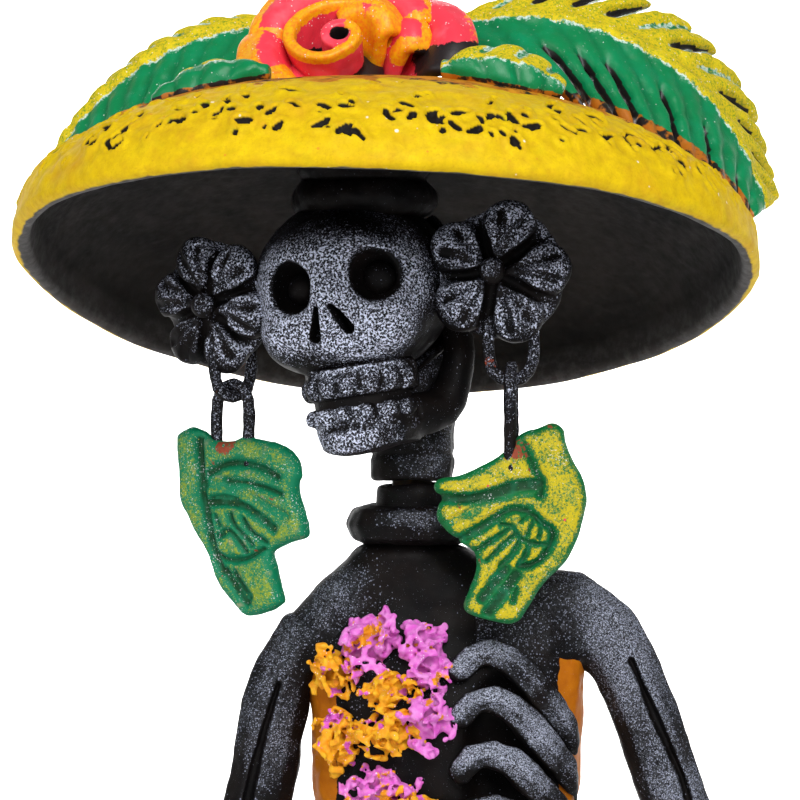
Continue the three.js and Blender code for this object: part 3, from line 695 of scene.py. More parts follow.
def hat_look():
    """A yellow band over black in its cuts, orange-brown above it, smoky grey-brown underneath; painted shade
    darkens the underside farther in from the rim.
    """
    look = Look("hat_paint")
    zone = look.mark("zone")
    pit = look.mark("pit")
    ridge = look.mark("ridge")
    wander = look.span(look.noise(5.0, 5), 0.25, 0.75, -5.0, 5.0)
    yellow = look.mix(look.span(look.noise(2.6, 5, 0.6), 0.35, 0.72), YELLOW, YELLOW_DEEP)
    yellow = look.mix(look.span(look.noise(7.0, 3), 0.50, 0.80, 0.0, 0.55), yellow, (0.58, 0.27, 0.012))
    # Painted shade: the yellow turns a darker gold where the surface lies low.
    yellow = look.mix(look.span(ridge, -0.08, -0.35, 0.0, 0.5), yellow, (0.55, 0.30, 0.01))
    tint = look.times(look.span(look.noise(6.0, 3), 0.56, 0.68), look.span(pit, 0.08, 0.4, 0.15, 1.0))
    yellow = look.cover(yellow, tint, 0.55, (0.20, 0.36, 0.01))
    flecks = look.dots(1.9, look.span(look.noise(11.0, 2), 0.45, 0.7, 0.0, 0.22), 0.08, 0.26)
    yellow = look.cover(yellow, flecks, 0.85, (0.86, 0.84, 0.74))
    sand = look.span(look.noise(0.5, 4, 0.7), 0.52, 0.70, 0.0, 0.5)
    yellow = look.mix(sand, yellow, (0.50, 0.27, 0.006))
    red = look.dots(2.6, 0.12, 0.05, 0.16)
    yellow = look.cover(yellow, red, 0.6, (0.62, 0.20, 0.02))
    yellow = look.mix(look.span(pit, 0.30, 0.55), yellow, (0.009, 0.007, 0.006))
    top = look.mix(look.span(look.noise(3.0, 5, 0.65), 0.38, 0.62), ORANGE_BROWN, (0.70, 0.30, 0.015))
    darkening = look.span(look.noise(9.0, 5, 0.7, 1.2), 0.52, 0.60)
    top = look.mix(darkening, top, (0.015, 0.012, 0.011))
    outside = look.mix(look.span(look.plus(zone, wander), 28.0, 29.5), yellow, top)
    smoke = look.span(look.noise(26.0, 5, 0.6, 0.8), 0.36, 0.72)
    under = look.mix(smoke, (0.0030, 0.0025, 0.0022), (0.019, 0.016, 0.0135))
    streak = bristled(look, 2.2, (0.22, 1.0, 1.0))
    under = look.mix(look.span(streak, 0.56, 0.80, 0.0, 0.22), under, (0.042, 0.038, 0.035))
    under = look.cover(under, look.span(look.noise(4.0, 4), 0.58, 0.64), 0.35, (0.010, 0.008, 0.007))
    haze = look.times(look.span(zone, -12.0, -2.5), look.span(look.noise(3.2, 5, 0.7), 0.45, 0.68))
    # Painted shade and light: the underside is darkest deep under the hat and lighter towards the rim.
    under = look.mix(look.span(zone, -12.0, -3.0, 0.0, 0.6), under, (0.070, 0.065, 0.062))
    under = look.cover(under, haze, 0.45, (0.15, 0.145, 0.145))
    lip = look.plus(zone, look.span(look.noise(5.0, 2), 0.3, 0.7, -0.35, 0.35))
    color = look.mix(look.span(lip, -3.0, -2.5), under, outside)
    normal = look.bump(look.noise(0.9, 5, 0.6), 0.10, 0.5)
    normal = look.bump(look.noise(3.5, 3), 0.30, 0.35, normal)
    rough = look.span(look.noise(2.0, 4), 0.2, 0.8, 0.50, 0.78)
    return look.done(color, rough, normal, 0.12)


def rose_look():
    """Hot pink with thick orange-yellow on the petal edges and white flecks; painted shade deepens the pink in
    the hollows and is black in the depths.
    """
    look = Look("rose_paint")
    ridge = look.mark("ridge")
    edge = look.mark("edge")
    # Painted shade: the pink deepens in the hollows.
    pink = look.mix(look.span(ridge, -0.3, 0.25), PINK_SHADE, PINK)
    pink = look.mix(look.span(look.noise(5.0, 3), 0.5, 0.8, 0.0, 0.6), pink, (0.90, 0.16, 0.22))
    soft = look.plus(edge, look.span(look.noise(1.3, 5, 0.7), 0.25, 0.75, -0.35, 0.35))
    gold = look.mix(look.span(look.noise(0.9, 5, 0.7), 0.42, 0.62), PETAL_YELLOW, (0.88, 0.22, 0.010))
    color = look.mix(look.span(soft, 0.50, 0.64), pink, gold)
    specks = look.dots(0.6, look.span(look.noise(3.0, 3), 0.46, 0.66, 0.0, 0.45), 0.12, 0.36)
    color = look.cover(color, specks, 0.85, (0.92, 0.80, 0.80))
    # Painted shade: black in the rose's depths and in the gap beside the coil.
    shade_black = look.plus(look.mark("black"), look.span(look.noise(1.6, 5, 0.7), 0.25, 0.75, -0.35, 0.35))
    color = look.mix(look.span(shade_black, 0.46, 0.56), color, (0.014, 0.009, 0.010))
    normal = look.bump(look.noise(1.0, 5, 0.6), 0.10, 0.45)
    normal = look.bump(specks, 0.06, 0.5, normal)
    rough = look.span(look.noise(2.5, 3), 0.3, 0.7, 0.34, 0.55)
    return look.done(color, rough, normal, 0.32)


def leaf_look():
    """Emerald, dry-brushed with yellow on what stands out and along the upper side, black in the slots; painted
    shade darkens the green in the hollows.
    """
    look = Look("leaf_paint")
    ridge = look.mark("ridge")
    sun = look.mark("sun")
    # Painted shade: the green darkens in the hollows.
    green = look.mix(look.span(ridge, -0.45, 0.1), EMERALD_SHADE, EMERALD)
    green = look.mix(look.span(look.noise(6.0, 3), 0.45, 0.8, 0.0, 0.5), green, (0.0, 0.30, 0.14))
    brushed = look.plus(sun, look.span(look.noise(0.9, 6, 0.75), 0.2, 0.8, -0.5, 0.5))
    white = look.span(brushed, 0.20, 0.42)
    white = look.times(white, look.span(look.noise(2.0, 5, 0.6), 0.44, 0.54))
    color = look.cover(green, white, 0.85, (0.66, 0.80, 0.76))
    yellow = look.mix(look.span(look.noise(0.6, 5, 0.75), 0.48, 0.64), LEAF_YELLOW, (0.11, 0.24, 0.008))
    yellow = look.mix(look.span(look.noise(4.0, 2), 0.55, 0.8), yellow, (0.74, 0.58, 0.006))
    color = look.mix(look.span(brushed, 0.47, 0.60), color, yellow)
    specks = look.dots(0.5, look.span(sun, 0.1, 0.9, 0.02, 0.16), 0.15, 0.38)
    color = look.cover(color, specks, 0.8, (0.80, 0.84, 0.80))
    slop = look.plus(look.mark("foot"), look.span(look.noise(2.4, 4), 0.3, 0.7, -0.35, 0.35))
    ground = look.mix(look.span(look.noise(4.0, 3), 0.47, 0.53), (0.42, 0.13, 0.008), (0.014, 0.010, 0.009))
    color = look.mix(look.span(slop, 0.50, 0.58), color, ground)
    color = look.mix(look.span(look.mark("black"), 0.42, 0.58), color, (0.012, 0.010, 0.010))
    normal = look.bump(look.noise(0.8, 5, 0.65), 0.10, 0.55)
    normal = look.bump(brushed, 0.10, 0.35, normal)
    rough = look.span(brushed, 0.2, 0.7, 0.34, 0.72)
    return look.done(color, rough, normal, 0.30)


def bird_look(name, warm):
    """Green in the cuts, sponged with yellow on the raised parts; bare clay where the ring enters."""
    look = Look(name)
    ridge = look.mark("ridge")
    deep = look.mark("deep")
    # Darker green in the deepest cuts: partly dark green paint, partly painted shade.
    green = look.mix(look.span(deep, 0.50, 1.0), BIRD_GREEN if warm else (0.0, 0.17, 0.075), BIRD_DARK)
    green = look.mix(look.span(look.noise(3.0, 3), 0.5, 0.8, 0.0, 0.6), green, (0.0, 0.21, 0.10))
    sponge = look.span(look.noise(0.55, 5, 0.8), 0.36, 0.64)
    cover = look.span(deep, 0.58, 0.10, 0.0, 1.0)
    cover = look.times(cover, look.mark("face"))
    drift = look.span(look.noise(4.5, 3), 0.3, 0.7, -0.10, 0.22)
    level = look.plus(look.times(cover, 0.39 if warm else 0.27), drift)
    level = look.times(level, look.span(cover, 0.02, 0.25))
    dabbed = look.span(look.plus(level, look.times(sponge, 0.5)), 0.52, 0.74)
    color = look.cover(green, dabbed, 0.94, BIRD_YELLOW if warm else (0.24, 0.30, 0.012))
    fine = look.dots(0.34, look.span(cover, 0.1, 1.0, 0.03, 0.26), 0.22, 0.5)
    color = look.cover(color, fine, 0.75, (0.03, 0.20, 0.03) if warm else (0.50, 0.52, 0.10))
    cloud = look.span(look.noise(5.0, 3), 0.45, 0.70, 0.0, 0.10)
    white = look.span(look.plus(look.noise(0.36, 3, 0.6), cloud), 0.68, 0.72)
    color = look.cover(color, white, 0.8, (0.70, 0.74, 0.76))
    worn = look.times(look.span(look.noise(3.6, 4), 0.60, 0.70), look.span(ridge, 0.0, 0.35))
    color = look.mix(look.times(worn, 0.25 if warm else 0.6), color, (0.50, 0.30, 0.22))
    ragged = look.span(look.noise(1.1, 5, 0.7), 0.3, 0.7, -0.45, 0.45)
    bare = look.span(look.plus(look.mark("chip"), ragged), 0.56, 0.62)
    color = look.mix(bare, color, look.mix(look.noise(0.7, 3), (0.40, 0.075, 0.03), (0.12, 0.022, 0.012)))
    red = look.dots(1.6, 0.045, 0.08, 0.22)
    color = look.mix(look.times(red, look.mark("face")), color, (0.72, 0.03, 0.08))
    normal = look.bump(look.noise(0.8, 5, 0.65), 0.12, 0.5)
    normal = look.bump(fine, 0.05, 0.5, normal)
    rough = look.span(look.noise(1.6, 3), 0.3, 0.7, 0.46, 0.72)
    return look.done(color, rough, normal, 0.25)


def moss_look(name, main, light, deep, other):
    """Crumbly painted strands: white bits on top; painted shade between them, a darker tone and then black."""
    look = Look(name)
    ridge = look.mark("ridge")
    tone = look.mix(look.span(look.noise(1.6, 4), 0.35, 0.7), main, light)
    tone = look.mix(look.span(look.noise(5.0, 3), 0.585, 0.615), tone, other)
    # Painted shade: the tone darkens in the hollows, then goes nearly black in the deepest.
    color = look.mix(look.span(ridge, -0.02, -0.34), tone, deep)
    color = look.mix(look.span(ridge, -0.26, -0.55), color, (0.014, 0.011, 0.012))
    bits = look.dots(0.5, look.span(look.noise(5.0, 3), 0.44, 0.66, 0.0, 0.55), 0.16, 0.42)
    bits = look.times(bits, look.span(ridge, -0.1, 0.2))
    color = look.cover(color, bits, 0.85, (0.88, 0.84, 0.88))
    normal = look.bump(look.noise(0.5, 4, 0.6), 0.08, 0.5)
    return look.done(color, look.span(look.noise(1.5, 3), 0.3, 0.7, 0.5, 0.78), normal, 0.35)


def cloth_look(name, main, light, darkening):
    """Brushed earth paint on the skirt: painted shade darkens the folds, and the ridges are worn."""
    look = Look(name)
    ridge = look.mark("ridge")
    tone = look.mix(look.span(look.noise(6.0, 5, 0.6), 0.35, 0.70), main, light)
    streak = bristled(look, 1.6, (1.0, 1.0, 0.14))
    tone = look.mix(look.span(streak, 0.55, 0.80, 0.0, 0.5), tone, light)
    fold_shade = look.plus(ridge, look.span(look.noise(5.0, 5, 0.65), 0.3, 0.7, -0.35, 0.35))
    # Painted shade: the colour darkens in the folds; the same dark colour also makes the specks.
    color = look.mix(look.span(fold_shade, -0.10, -0.55), tone, darkening)
    color = look.mix(look.times(look.dots(0.9, 0.16, 0.08, 0.26), 0.7), color, darkening)
    bare = look.times(look.span(look.noise(2.4, 4), 0.66, 0.70), look.span(ridge, 0.3, 0.6))
    color = look.mix(bare, color, CLAY_RED)
    normal = look.bump(look.noise(1.1, 5, 0.6), 0.14, 0.5)
    normal = look.bump(streak, 0.12, 0.4, normal)
    return look.done(color, look.span(look.noise(3.0, 3), 0.3, 0.7, 0.50, 0.75), normal, 0.35)


def wood_look():
    """Whittled softwood with long grain."""
    look = Look("peg_wood")
    streak = bristled(look, 1.2, (1.0, 1.0, 0.12))
    color = look.mix(look.span(streak, 0.3, 0.7), (0.020, 0.012, 0.008), (0.060, 0.034, 0.018))
    normal = look.bump(streak, 0.15, 0.6)
    return look.done(color, look.span(streak, 0.3, 0.7, 0.55, 0.75), normal, 0.3)


BLACK_CLAY = black_clay("black_clay")
FACE_CLAY = black_clay("face_clay", grain=0.44, crust=0.95, haze_share=0.07, dot_share=0.26)
TORSO_CLAY = black_clay("torso_clay", mustard=True)
HAT_PAINT = hat_look()
ROSE_PAINT = rose_look()
LEAF_PAINT = leaf_look()
MAGENTA_MOSS = moss_look("magenta_moss", MAGENTA, ORCHID, (0.16, 0.014, 0.12), FLOWER_ORANGE)
ORANGE_MOSS = moss_look("orange_moss", FLOWER_ORANGE, (0.80, 0.46, 0.012), (0.20, 0.05, 0.004), MAGENTA)
SKIRT_PAINT = cloth_look("skirt_paint", MUSTARD, (0.72, 0.33, 0.012), (0.030, 0.016, 0.010))
RUFFLE_PAINT = cloth_look("ruffle_paint", MAGENTA, ORCHID, (0.07, 0.008, 0.05))
WOOD = wood_look()


def no_chip(points, normals, ridge, local):
    """Marks for a piece with no paint knocked off."""
    return {"chip": np.zeros(len(points))}


# ---------------------------------------------------------------- head


def slit(a, b, ra, rb, y_back):
    """A tapering slot seen from the front, cut back to a depth."""
    a, b = np.array(a, float), np.array(b, float)

    def distance(x, y, z):
        off, t = to_segment(x, z, a, b)
        return np.maximum(off - (ra + (rb - ra) * t), y - y_back)

    low = (min(a[0], b[0]) - 2, -30, min(a[1], b[1]) - 2)
    high = (max(a[0], b[0]) + 2, y_back, max(a[1], b[1]) + 2)
    return Shape(low, high, distance)


# The curve of the jaws in plan: its middle, its half width and its reach to the front.
ARCH_X, ARCH_Y, ARCH_WIDE, ARCH_LONG = 0.2, -7.4, 12.0, 12.2
MOUTH_Z = -23.0
MOUTH_GAP = 1.1


def arch_block(grow, low_z, high_z, round_edge=0.9):
    """An upright block with an elliptical plan, the base of a row of teeth."""
    a, b = ARCH_WIDE + grow, ARCH_LONG + grow

    def distance(x, y, z):
        k = np.sqrt(((x - ARCH_X) / a) ** 2 + ((y - ARCH_Y) / b) ** 2)
        level = np.abs(z - (low_z + high_z) / 2) - (high_z - low_z) / 2
        return rounded((k - 1) * min(a, b), level, round_edge)

    return Shape((ARCH_X - a, ARCH_Y - b, low_z), (ARCH_X + a, ARCH_Y + b, high_z), distance)


def cut_teeth(clay, top, bottom, count, first, last):
    """Swells teeth between grooves, from one angle to another; returns the arch for the line of the gum."""
    def on_arch(degrees, z, out=0.0):
        angle = math.radians(degrees)
        return (ARCH_X + (ARCH_WIDE + out) * math.sin(angle), ARCH_Y - (ARCH_LONG + out) * math.cos(angle), z)

    for i in range(count + 1):
        at = first + (last - first) * i / count
        clay.engrave(coil([on_arch(at, top), on_arch(at, bottom)], (0.15,)), 0.95, 1.15)
    for i in range(count):
        at = first + (last - first) * (i + 0.5) / count
        clay.add(ellipsoid(on_arch(at, (top + bottom) / 2, -1.0), (1.7, 1.7, abs(top - bottom) * 0.44)), 1.0)
    return on_arch


# The way the face was sprayed from, and the middles of the eye sockets (X and Z in the head's own frame).
FACE_FRONT = np.array([-0.30, -0.94, 0.10])
SOCKETS = ((-7.5, 1.3), (10.8, 1.3))


def make_skull():
    clay = Clay((-24, -28, -27), (24, 25, 23), 0.32)
    clay.add(ellipsoid((-0.8, 0, 0), (21.4, 22, 19.6)))
    for side in (-1, 1):
        clay.add(ellipsoid((side * 9.0, -12.4, -8.6), (7.6, 7.4, 6.4)), 5)
    clay.add(ellipsoid((0, -14, 7.6), (12, 7.6, 5.5)), 4)
    clay.add(ellipsoid((-1.4, -9.6, -7.8), (16.8, 12.4, 10.2)), 3)
    clay.add(arch_block(0, MOUTH_Z + 0.1, -16.7, 1.1), 0.7)
    clay.add(ellipsoid((0.4, -21.6, -2.2), (2.6, 1.9, 6.0)), 3)
    for x, z in SOCKETS:
        clay.cut(ellipsoid((x, -20.5, z), (5.1, 8.6, 5.5)), 1.6)
    clay.cut(slit((-1.5, -4.0), (-3.0, -9.6), 0.55, 1.25, -17.6), 0.6)
    clay.cut(slit((1.8, -3.8), (4.4, -8.8), 0.55, 1.25, -17.2), 0.6)
    on_arch = cut_teeth(clay, MOUTH_Z + 4.9, MOUTH_Z + 0.3, 7, -80, 92)
    gum = [on_arch(a, -17.6 - 0.3 * math.cos(6 * math.radians(a)), 0.2) for a in range(-80, 96, 12)]
    clay.engrave(coil(gum, (0.25,)), 0.9, 1.2)
    clay.add(arch_block(-1.7, MOUTH_Z - 2.4, MOUTH_Z + 4, 0.4))
    clay.engrave(coil(curve([(-1.5, -22, 16), (1.5, -20, 17.5), (3, -15, 19)], 6), (0.05,)), 0.35, 0.9)

    def mark(points, normals, ridge, local):
        socket = np.minimum(*[np.linalg.norm((local - np.array((x, -17.6, z))) * (1, 0.8, 1), axis=1)
                              for x, z in SOCKETS])
        nose = ramp(np.abs(local[:, 0] - 0.5), 5.5, 3.0) * ramp(np.abs(local[:, 2] + 6.6), 4.0, 3.0)
        sunk = nose * ramp(local[:, 1], -20.4, -19.4)
        slot = ramp(local[:, 2], MOUTH_Z + 0.5, MOUTH_Z)
        face = spray_marks(points, normals, ridge, 1.0, 0.26, FACE_FRONT)
        face *= ramp(socket, 4.9, 5.9) * (1 - sunk) * (1 - slot)
        face *= (ramp(local[:, 2], 20.5, 6) * 0.92 + 0.08) * (1 - 0.25 * ramp(local[:, 2], -17.0, -18.2))
        return {"spray": face * ramp(local[:, 1], -3, -11), "chip": np.zeros(len(points))}

    finish(clay, "skull_bone", "head", ["skull"], FACE_CLAY, HEAD,
           rough=((6, 0.22), (2.2, 0.10)), mark=mark)


def make_jaw():
    clay = Clay((-22, -26, -39), (22, 13, -4), 0.32)
    top = MOUTH_Z - MOUTH_GAP
    clay.add(arch_block(-2.0, -35.2, top, 1.0))
    clay.cut(arch_block(6, -40, -33.5, 0.1))
    clay.add(ellipsoid((ARCH_X, ARCH_Y - 1, -29.0), (ARCH_WIDE - 2.0, ARCH_LONG - 1.6, 6.2)), 2)
    clay.add(ellipsoid((ARCH_X - 0.6, -15.4, -30.8), (6.6, 4.4, 4.0)), 3)
    for path in ([(-4, -4, -28), (-7, 4, -25), (-12.0, 9, -16), (-15.4, 10, -8)],
                 [(8, -4, -28.5), (13.6, 3, -27.5), (17.4, 7, -18), (17.6, 8, -8)]):
        clay.add(coil(curve(path, 10), (4.6, 4.4, 3.4, 2.8)), 2.5)
    on_arch = cut_teeth(clay, top - 0.3, top - 4.6, 6, -72, 92)
    gum = [on_arch(a, top - 5.1 + 0.3 * math.cos(6 * math.radians(a)), 0.0) for a in range(-72, 96, 12)]
    clay.engrave(coil(gum, (0.25,)), 0.8, 1.2)
    clay.cut(arch_block(1.2, top, top + 6, 0.1))

    def mark(points, normals, ridge, local):
        face = spray_marks(points, normals, ridge, 0.9, 0.28, FACE_FRONT) * ramp(local[:, 1], -3, -11)
        face *= ramp(local[:, 0], 14.5, 9) * ramp(local[:, 2], top - 0.1, top - 0.6)
        return {"spray": face, "chip": np.zeros(len(points))}

    finish(clay, "jaw_bone", "head", ["jaw"], FACE_CLAY, HEAD,
           rough=((6, 0.18), (2.2, 0.08)), mark=mark)


def make_eyes():
    for x, name in ((10.0, "left"), (-6.9, "right")):
        clay = Clay((-5, -5, -5), (5, 5, 5), 0.25)
        clay.add(ellipsoid((0, 0, 0), (3.5, 3.2, 3.5)))
        matrix = HEAD @ Matrix.Translation((x, -13.6, 0.6))
        finish(clay, name + "_eye", "head", [name + "_eyeball"], BLACK_CLAY, matrix,
               rough=((2.5, 0.12),), mark=no_chip, spray=0.03)


def make_hair():
    clay = Clay((-20, -20, -9), (20, 20, 12), 0.4)
    ring = [(math.cos(t), math.sin(t)) for t in np.linspace(0, 2 * math.pi, 33)]
    clay.add(coil([(11.6 * c, 11.6 * s, -3.2) for c, s in ring], (4.1,)))
    clay.add(coil([(11.0 * c, 11.0 * s, 3.9) for c, s in ring], (4.0,)), 0.8)
    clay.add(ellipsoid((0, 0, 1), (11, 11, 9)), 1)
    clay.add(ellipsoid((0, 0, 9), (13, 13, 4)), 2)
    matrix = SHIFT @ place((-6.8, -12, 359))
    finish(clay, "hair_coil", "head", ["hair_roll"], BLACK_CLAY, matrix,
           rough=((4, 0.5), (1.6, 0.16)), mark=no_chip, spray=0.02)

    back = Clay.of_node("hair_back", 0.5)
    back.soften(0.9)
    nape = -8
    for angle in np.linspace(-60, 60, 13):
        path = []
        for height in np.linspace(18, -30, 9):
            tilt = math.radians(angle * (1 - 0.35 * (height < nape)))
            reach = 24.5 * math.sqrt(max(0.05, 1 - (height / 23) ** 2)) if height > nape else 22.0
            path.append((0.93 * reach * math.sin(tilt), reach * math.cos(tilt), height))
        back.engrave(coil(moved(HEAD, np.array(path)), (0.05,)), 0.9, 1.4)
    finish(back, "hair_fall", "head", ["hair_back"], BLACK_CLAY, None,
           rough=((4, 0.3), (1.4, 0.1)), mark=no_chip, spray=0.12)


# ---------------------------------------------------------------- flowers with petals


def flower(radius, thickness, petals, first, grooves, lean=(0.0, 0.0)):
    """Puffed petals round a boss, facing -Y, each with radial slots; lean shifts the boss off centre."""
    r = radius
    clay = Clay((-r - 3, -thickness, -r - 3), (r + 3, thickness, r + 3), 0.28 if r > 12 else 0.3)
    clay.add(ellipsoid((0, 1.6, 0), (r * 0.90, thickness * 0.40, r * 0.90)))
    spread = math.pi / petals

    def at(angle, reach, y):
        back = 1 - reach
        return (reach * r * math.cos(angle) + lean[0] * back, y, reach * r * math.sin(angle) + lean[1] * back)

    for i in range(petals):
        angle = math.radians(first) + i * 2 * math.pi / petals
        c, s = math.cos(angle), math.sin(angle)
        size = r * (0.425 if petals == 5 else 0.40)
        turn = ((c, -s, 0), (0, 0, 1), (s, c, 0))
        clay.add(ellipsoid(at(angle, 0.60, -0.2), (size * 1.02, size * 0.94, thickness * 0.5), turn), 0.5)
        clay.add(ellipsoid(at(angle, 0.34, 0.0), (size * 0.8, size * 0.55, thickness * 0.46), turn), 0.8)
    for i in range(petals):
        angle = math.radians(first) + i * 2 * math.pi / petals
        for k in grooves:
            a = angle + k * spread
            path = [at(a, 0.36, -thickness * 0.47), at(a + 0.1 * k, 0.62, -thickness * 0.52),
                    at(a + 0.2 * k, 0.84, -thickness * 0.36)]
            clay.engrave(coil(path, (0.1, 0.45, 0.1)), 1.9, 1.3)
        gap = angle + spread
        valley = [at(gap, 0.2, -2.4), at(gap, 0.75, -1.4), at(gap, 0.98, 0.4)]
        clay.engrave(coil(valley, (0.5, 0.6, 0.8)), 1.5, 1.5)
    return clay


def make_ear_flowers():
    for side, first in (("left", 5), ("right", 40)):
        boss = (-1.6, 0.4) if side == "left" else (0.8, 0.3)
        clay = flower(15, 8.2, 5 if side == "left" else 6, first, (-0.30, 0.26), boss)

        def mark(points, normals, ridge, local):
            inner = ramp(np.hypot(local[:, 0], local[:, 2]), 3.0, 7.0)
            spray = spray_marks(points, normals, ridge, 0.95, 0.02) * (0.35 + 0.65 * inner)
            rim = ramp(np.hypot(local[:, 0], local[:, 2]), 13.2, 14.8) * ramp(lumps(points, 2.4), 0.28, 0.5)
            low = ramp(local[:, 2], -9, -13)
            return {"spray": spray, "chip": rim * low * ramp(local[:, 1], -1, 1.5)}

        finish(clay, side + "_ear_petals", "head", [side + "_ear_flower"], FACE_CLAY,
               FLOWERS[side], rough=((3.5, 0.28), (1.3, 0.10)), mark=mark)
        button = Clay((-5, -5, -5), (5, 5, 5), 0.22)
        button.add(ellipsoid((0, 0, 0), (2.7, 2.2, 2.7)))
        button.cut(ellipsoid((0.3, -2.5, 0.2), (0.8, 0.9, 0.8)), 0.8)
        matrix = FLOWERS[side] @ Matrix.Translation((boss[0], -4.0, boss[1]))
        finish(button, side + "_ear_button", "head", [side + "_ear_flower_centre"], FACE_CLAY,
               matrix, rough=((2, 0.2),), mark=no_chip, spray=0.7)


def pinch(clay, low, high):
    """Brings the two legs of a ring that is seen edge on together towards its lower end."""
    points = clay.places().astype(np.float64)
    off = points[:, 1] - (low[1] + high[1]) / 2
    closing = 1.6 * ramp(points[:, 2], low[2] + 13, low[2] + 6)
    points[:, 1] += np.sign(off) * closing
    clay.field = clay.sample(clay.field, points).reshape(clay.field.shape).astype(np.float32)


def make_rings():
    """The hand-rolled rings keep the frame's shape, rounded and lumpy."""
    bodies = {"left_ear_ring": "head", "right_ear_ring": "head", "left_bird_ring": "left_earring",
              "right_bird_ring": "right_earring"}
    for node, body in bodies.items():
        clay = Clay.of_node(node, 0.2, 0.12)
        if node == "left_bird_ring":
            pinch(clay, *corners_of(node))
        clay.soften(0.35)

        def mark(points, normals, ridge, local):
            return {"chip": 0.55 * ramp(patches(points, 3.0), 0.55, 0.8)}

        finish(clay, node + "_clay", body, [node], FACE_CLAY, None,
               rough=((2.6, 0.16), (1.0, 0.05)), mark=mark, spray=0.5)


# ---------------------------------------------------------------- birds

# The outlines of the two birds, in the bird's own X and Z.
BIRD_OUTLINE = [
    (-1.6, 0.0), (-6.3, -2.8), (-11, -4.7), (-15.2, -5.6), (-16.1, -7.4), (-14.9, -9.6), (-15.3, -14),
    (-11, -18.3), (-7.4, -21.2), (-7.7, -25.8), (-9.9, -31.4), (-8.4, -33.7), (-3.4, -35.3), (0.9, -35.5),
    (3.6, -32.2), (6.8, -27.2), (11.2, -22.8), (14.1, -17), (15.6, -10.9), (15.2, -6), (12.4, -0.6),
    (11.2, 2.4), (10.8, 4.9), (8.6, 6.1), (5.6, 5.1), (2.2, 4.1),
]
OTHER_OUTLINE = [
    (-8.6, 3.5), (-9.8, 3.8), (-12.7, 2.4), (-13.1, 0.6), (-12.6, -4.1), (-12.2, -10.9), (-10.7, -14.7),
    (-8, -19.1), (-5.2, -23.4), (-3.4, -28.8), (-1.6, -31.8), (0.8, -34), (3.2, -36.0), (6.2, -35.9),
    (9.3, -35.1), (12, -33.5), (12.3, -32.0), (11.2, -28.6), (10.4, -25.3), (9.8, -22.6), (13.8, -20.6),
    (17.9, -19.0), (17.4, -14.6), (15.9, -10.4), (15.9, -7.7), (16.5, -6.2), (15.8, -3.0), (12.6, -0.2),
    (6.9, 1.3), (3.2, 1.9), (0.5, 0.9), (-3.7, 1.0), (-6.7, 2.9),
]
# Cuts on the wing and tail: a path, its depth and its width.
BIRD_CUTS = [
    ([(2.6, 1.6), (4.6, -3.2), (6.2, -6.2), (6.0, -9.0)], 0.9, 0.9),
    ([(5.8, -6.4), (2.0, -6.7), (-1.0, -7.4), (-5.0, -8.8), (-9.5, -9.6), (-14.4, -9.4)], 1.5, 1.1),
    ([(3.4, -12.0), (0.6, -11.7), (-2.2, -12.8), (-5.6, -15.0), (-8.6, -16.6), (-11.2, -18.0)], 1.1, 0.9),
    ([(0.8, -11.8), (3.8, -12.5), (6.0, -14.4), (8.2, -16.0), (8.4, -18.0), (7.0, -21.0), (4.6, -23.2),
      (1.6, -23.6)], 1.1, 0.9),
    ([(-2.4, -14.8), (0.2, -15.4), (1.6, -17.8), (4.4, -18.8), (7.8, -19.2)], 0.9, 0.75),
    ([(1.8, -14.4), (3.6, -12.6)], 0.8, 0.6),
    ([(3.2, -17.2), (4.6, -13.8)], 0.8, 0.6),
    ([(5.6, -17.8), (6.2, -14.8)], 0.8, 0.6),
    ([(-9.6, -18.2), (-5.0, -15.4), (-1.6, -13.6)], 0.8, 0.6),
    ([(-7.4, -20.4), (-3.4, -17.8), (-0.4, -15.6)], 0.9, 0.65),
    ([(-5.2, -22.4), (-2.4, -19.8), (0.8, -16.8)], 0.9, 0.65),
    ([(-2.4, -23.6), (0.0, -21.4), (1.8, -18.2)], 0.9, 0.65),
    ([(1.4, -23.4), (2.8, -21.4), (3.8, -18.9)], 0.9, 0.65),
    ([(-1.4, -24.4), (-3.8, -27.4), (-6.0, -30.2)], 1.3, 1.2),
    ([(0.8, -25.4), (-1.8, -29.2), (-4.8, -33.0)], 1.4, 1.2),
    ([(1.0, -28.2), (0.2, -31.0)], 0.9, 0.7),
]
# The second bird was made again by hand, so its outline and its cuts wander.
OTHER_CUTS = [
    ([(-7.0, 1.2), (-6.5, -6.8), (-5.8, -12.0), (-4.6, -17.7), (-3.1, -23.1), (-1.3, -26.7)], 1.3, 1.0),
    ([(-4.9, -6.0), (-1.0, -4.1), (3.2, -3.8), (8.1, -4.7), (11.6, -6.6)], 1.2, 1.1),
    ([(-0.4, -7.4), (4.4, -7.9), (9.3, -9.0), (12.6, -10.2)], 1.0, 0.9),
    ([(-4.3, -11.2), (-1.3, -10.9), (2.0, -11.5)], 0.9, 0.7),
    ([(-4.9, -12.3), (-1.3, -12.0), (2.6, -12.5), (6.2, -14.2), (10.8, -17.6)], 1.3, 1.0),
    ([(-3.4, -15.2), (-2.4, -17.0)], 0.9, 0.8),
    ([(0.4, -14.6), (1.4, -17.0), (5.4, -21.0)], 1.0, 0.8),
    ([(3.6, -15.6), (5.6, -18.4), (9.0, -20.4)], 1.0, 0.8),
    ([(-2.4, -19.4), (-0.2, -18.2), (1.8, -19.8), (4.2, -22.6)], 1.1, 0.8),
    ([(-3.2, -22.4), (-0.4, -24.2), (4.2, -24.0), (8.4, -21.8)], 1.1, 0.9),
    ([(-0.7, -26.7), (2.0, -30.5), (4.4, -33.2)], 1.4, 1.0),
    ([(1.4, -27.2), (3.2, -29.9), (5.0, -32.1)], 1.2, 0.9),
]


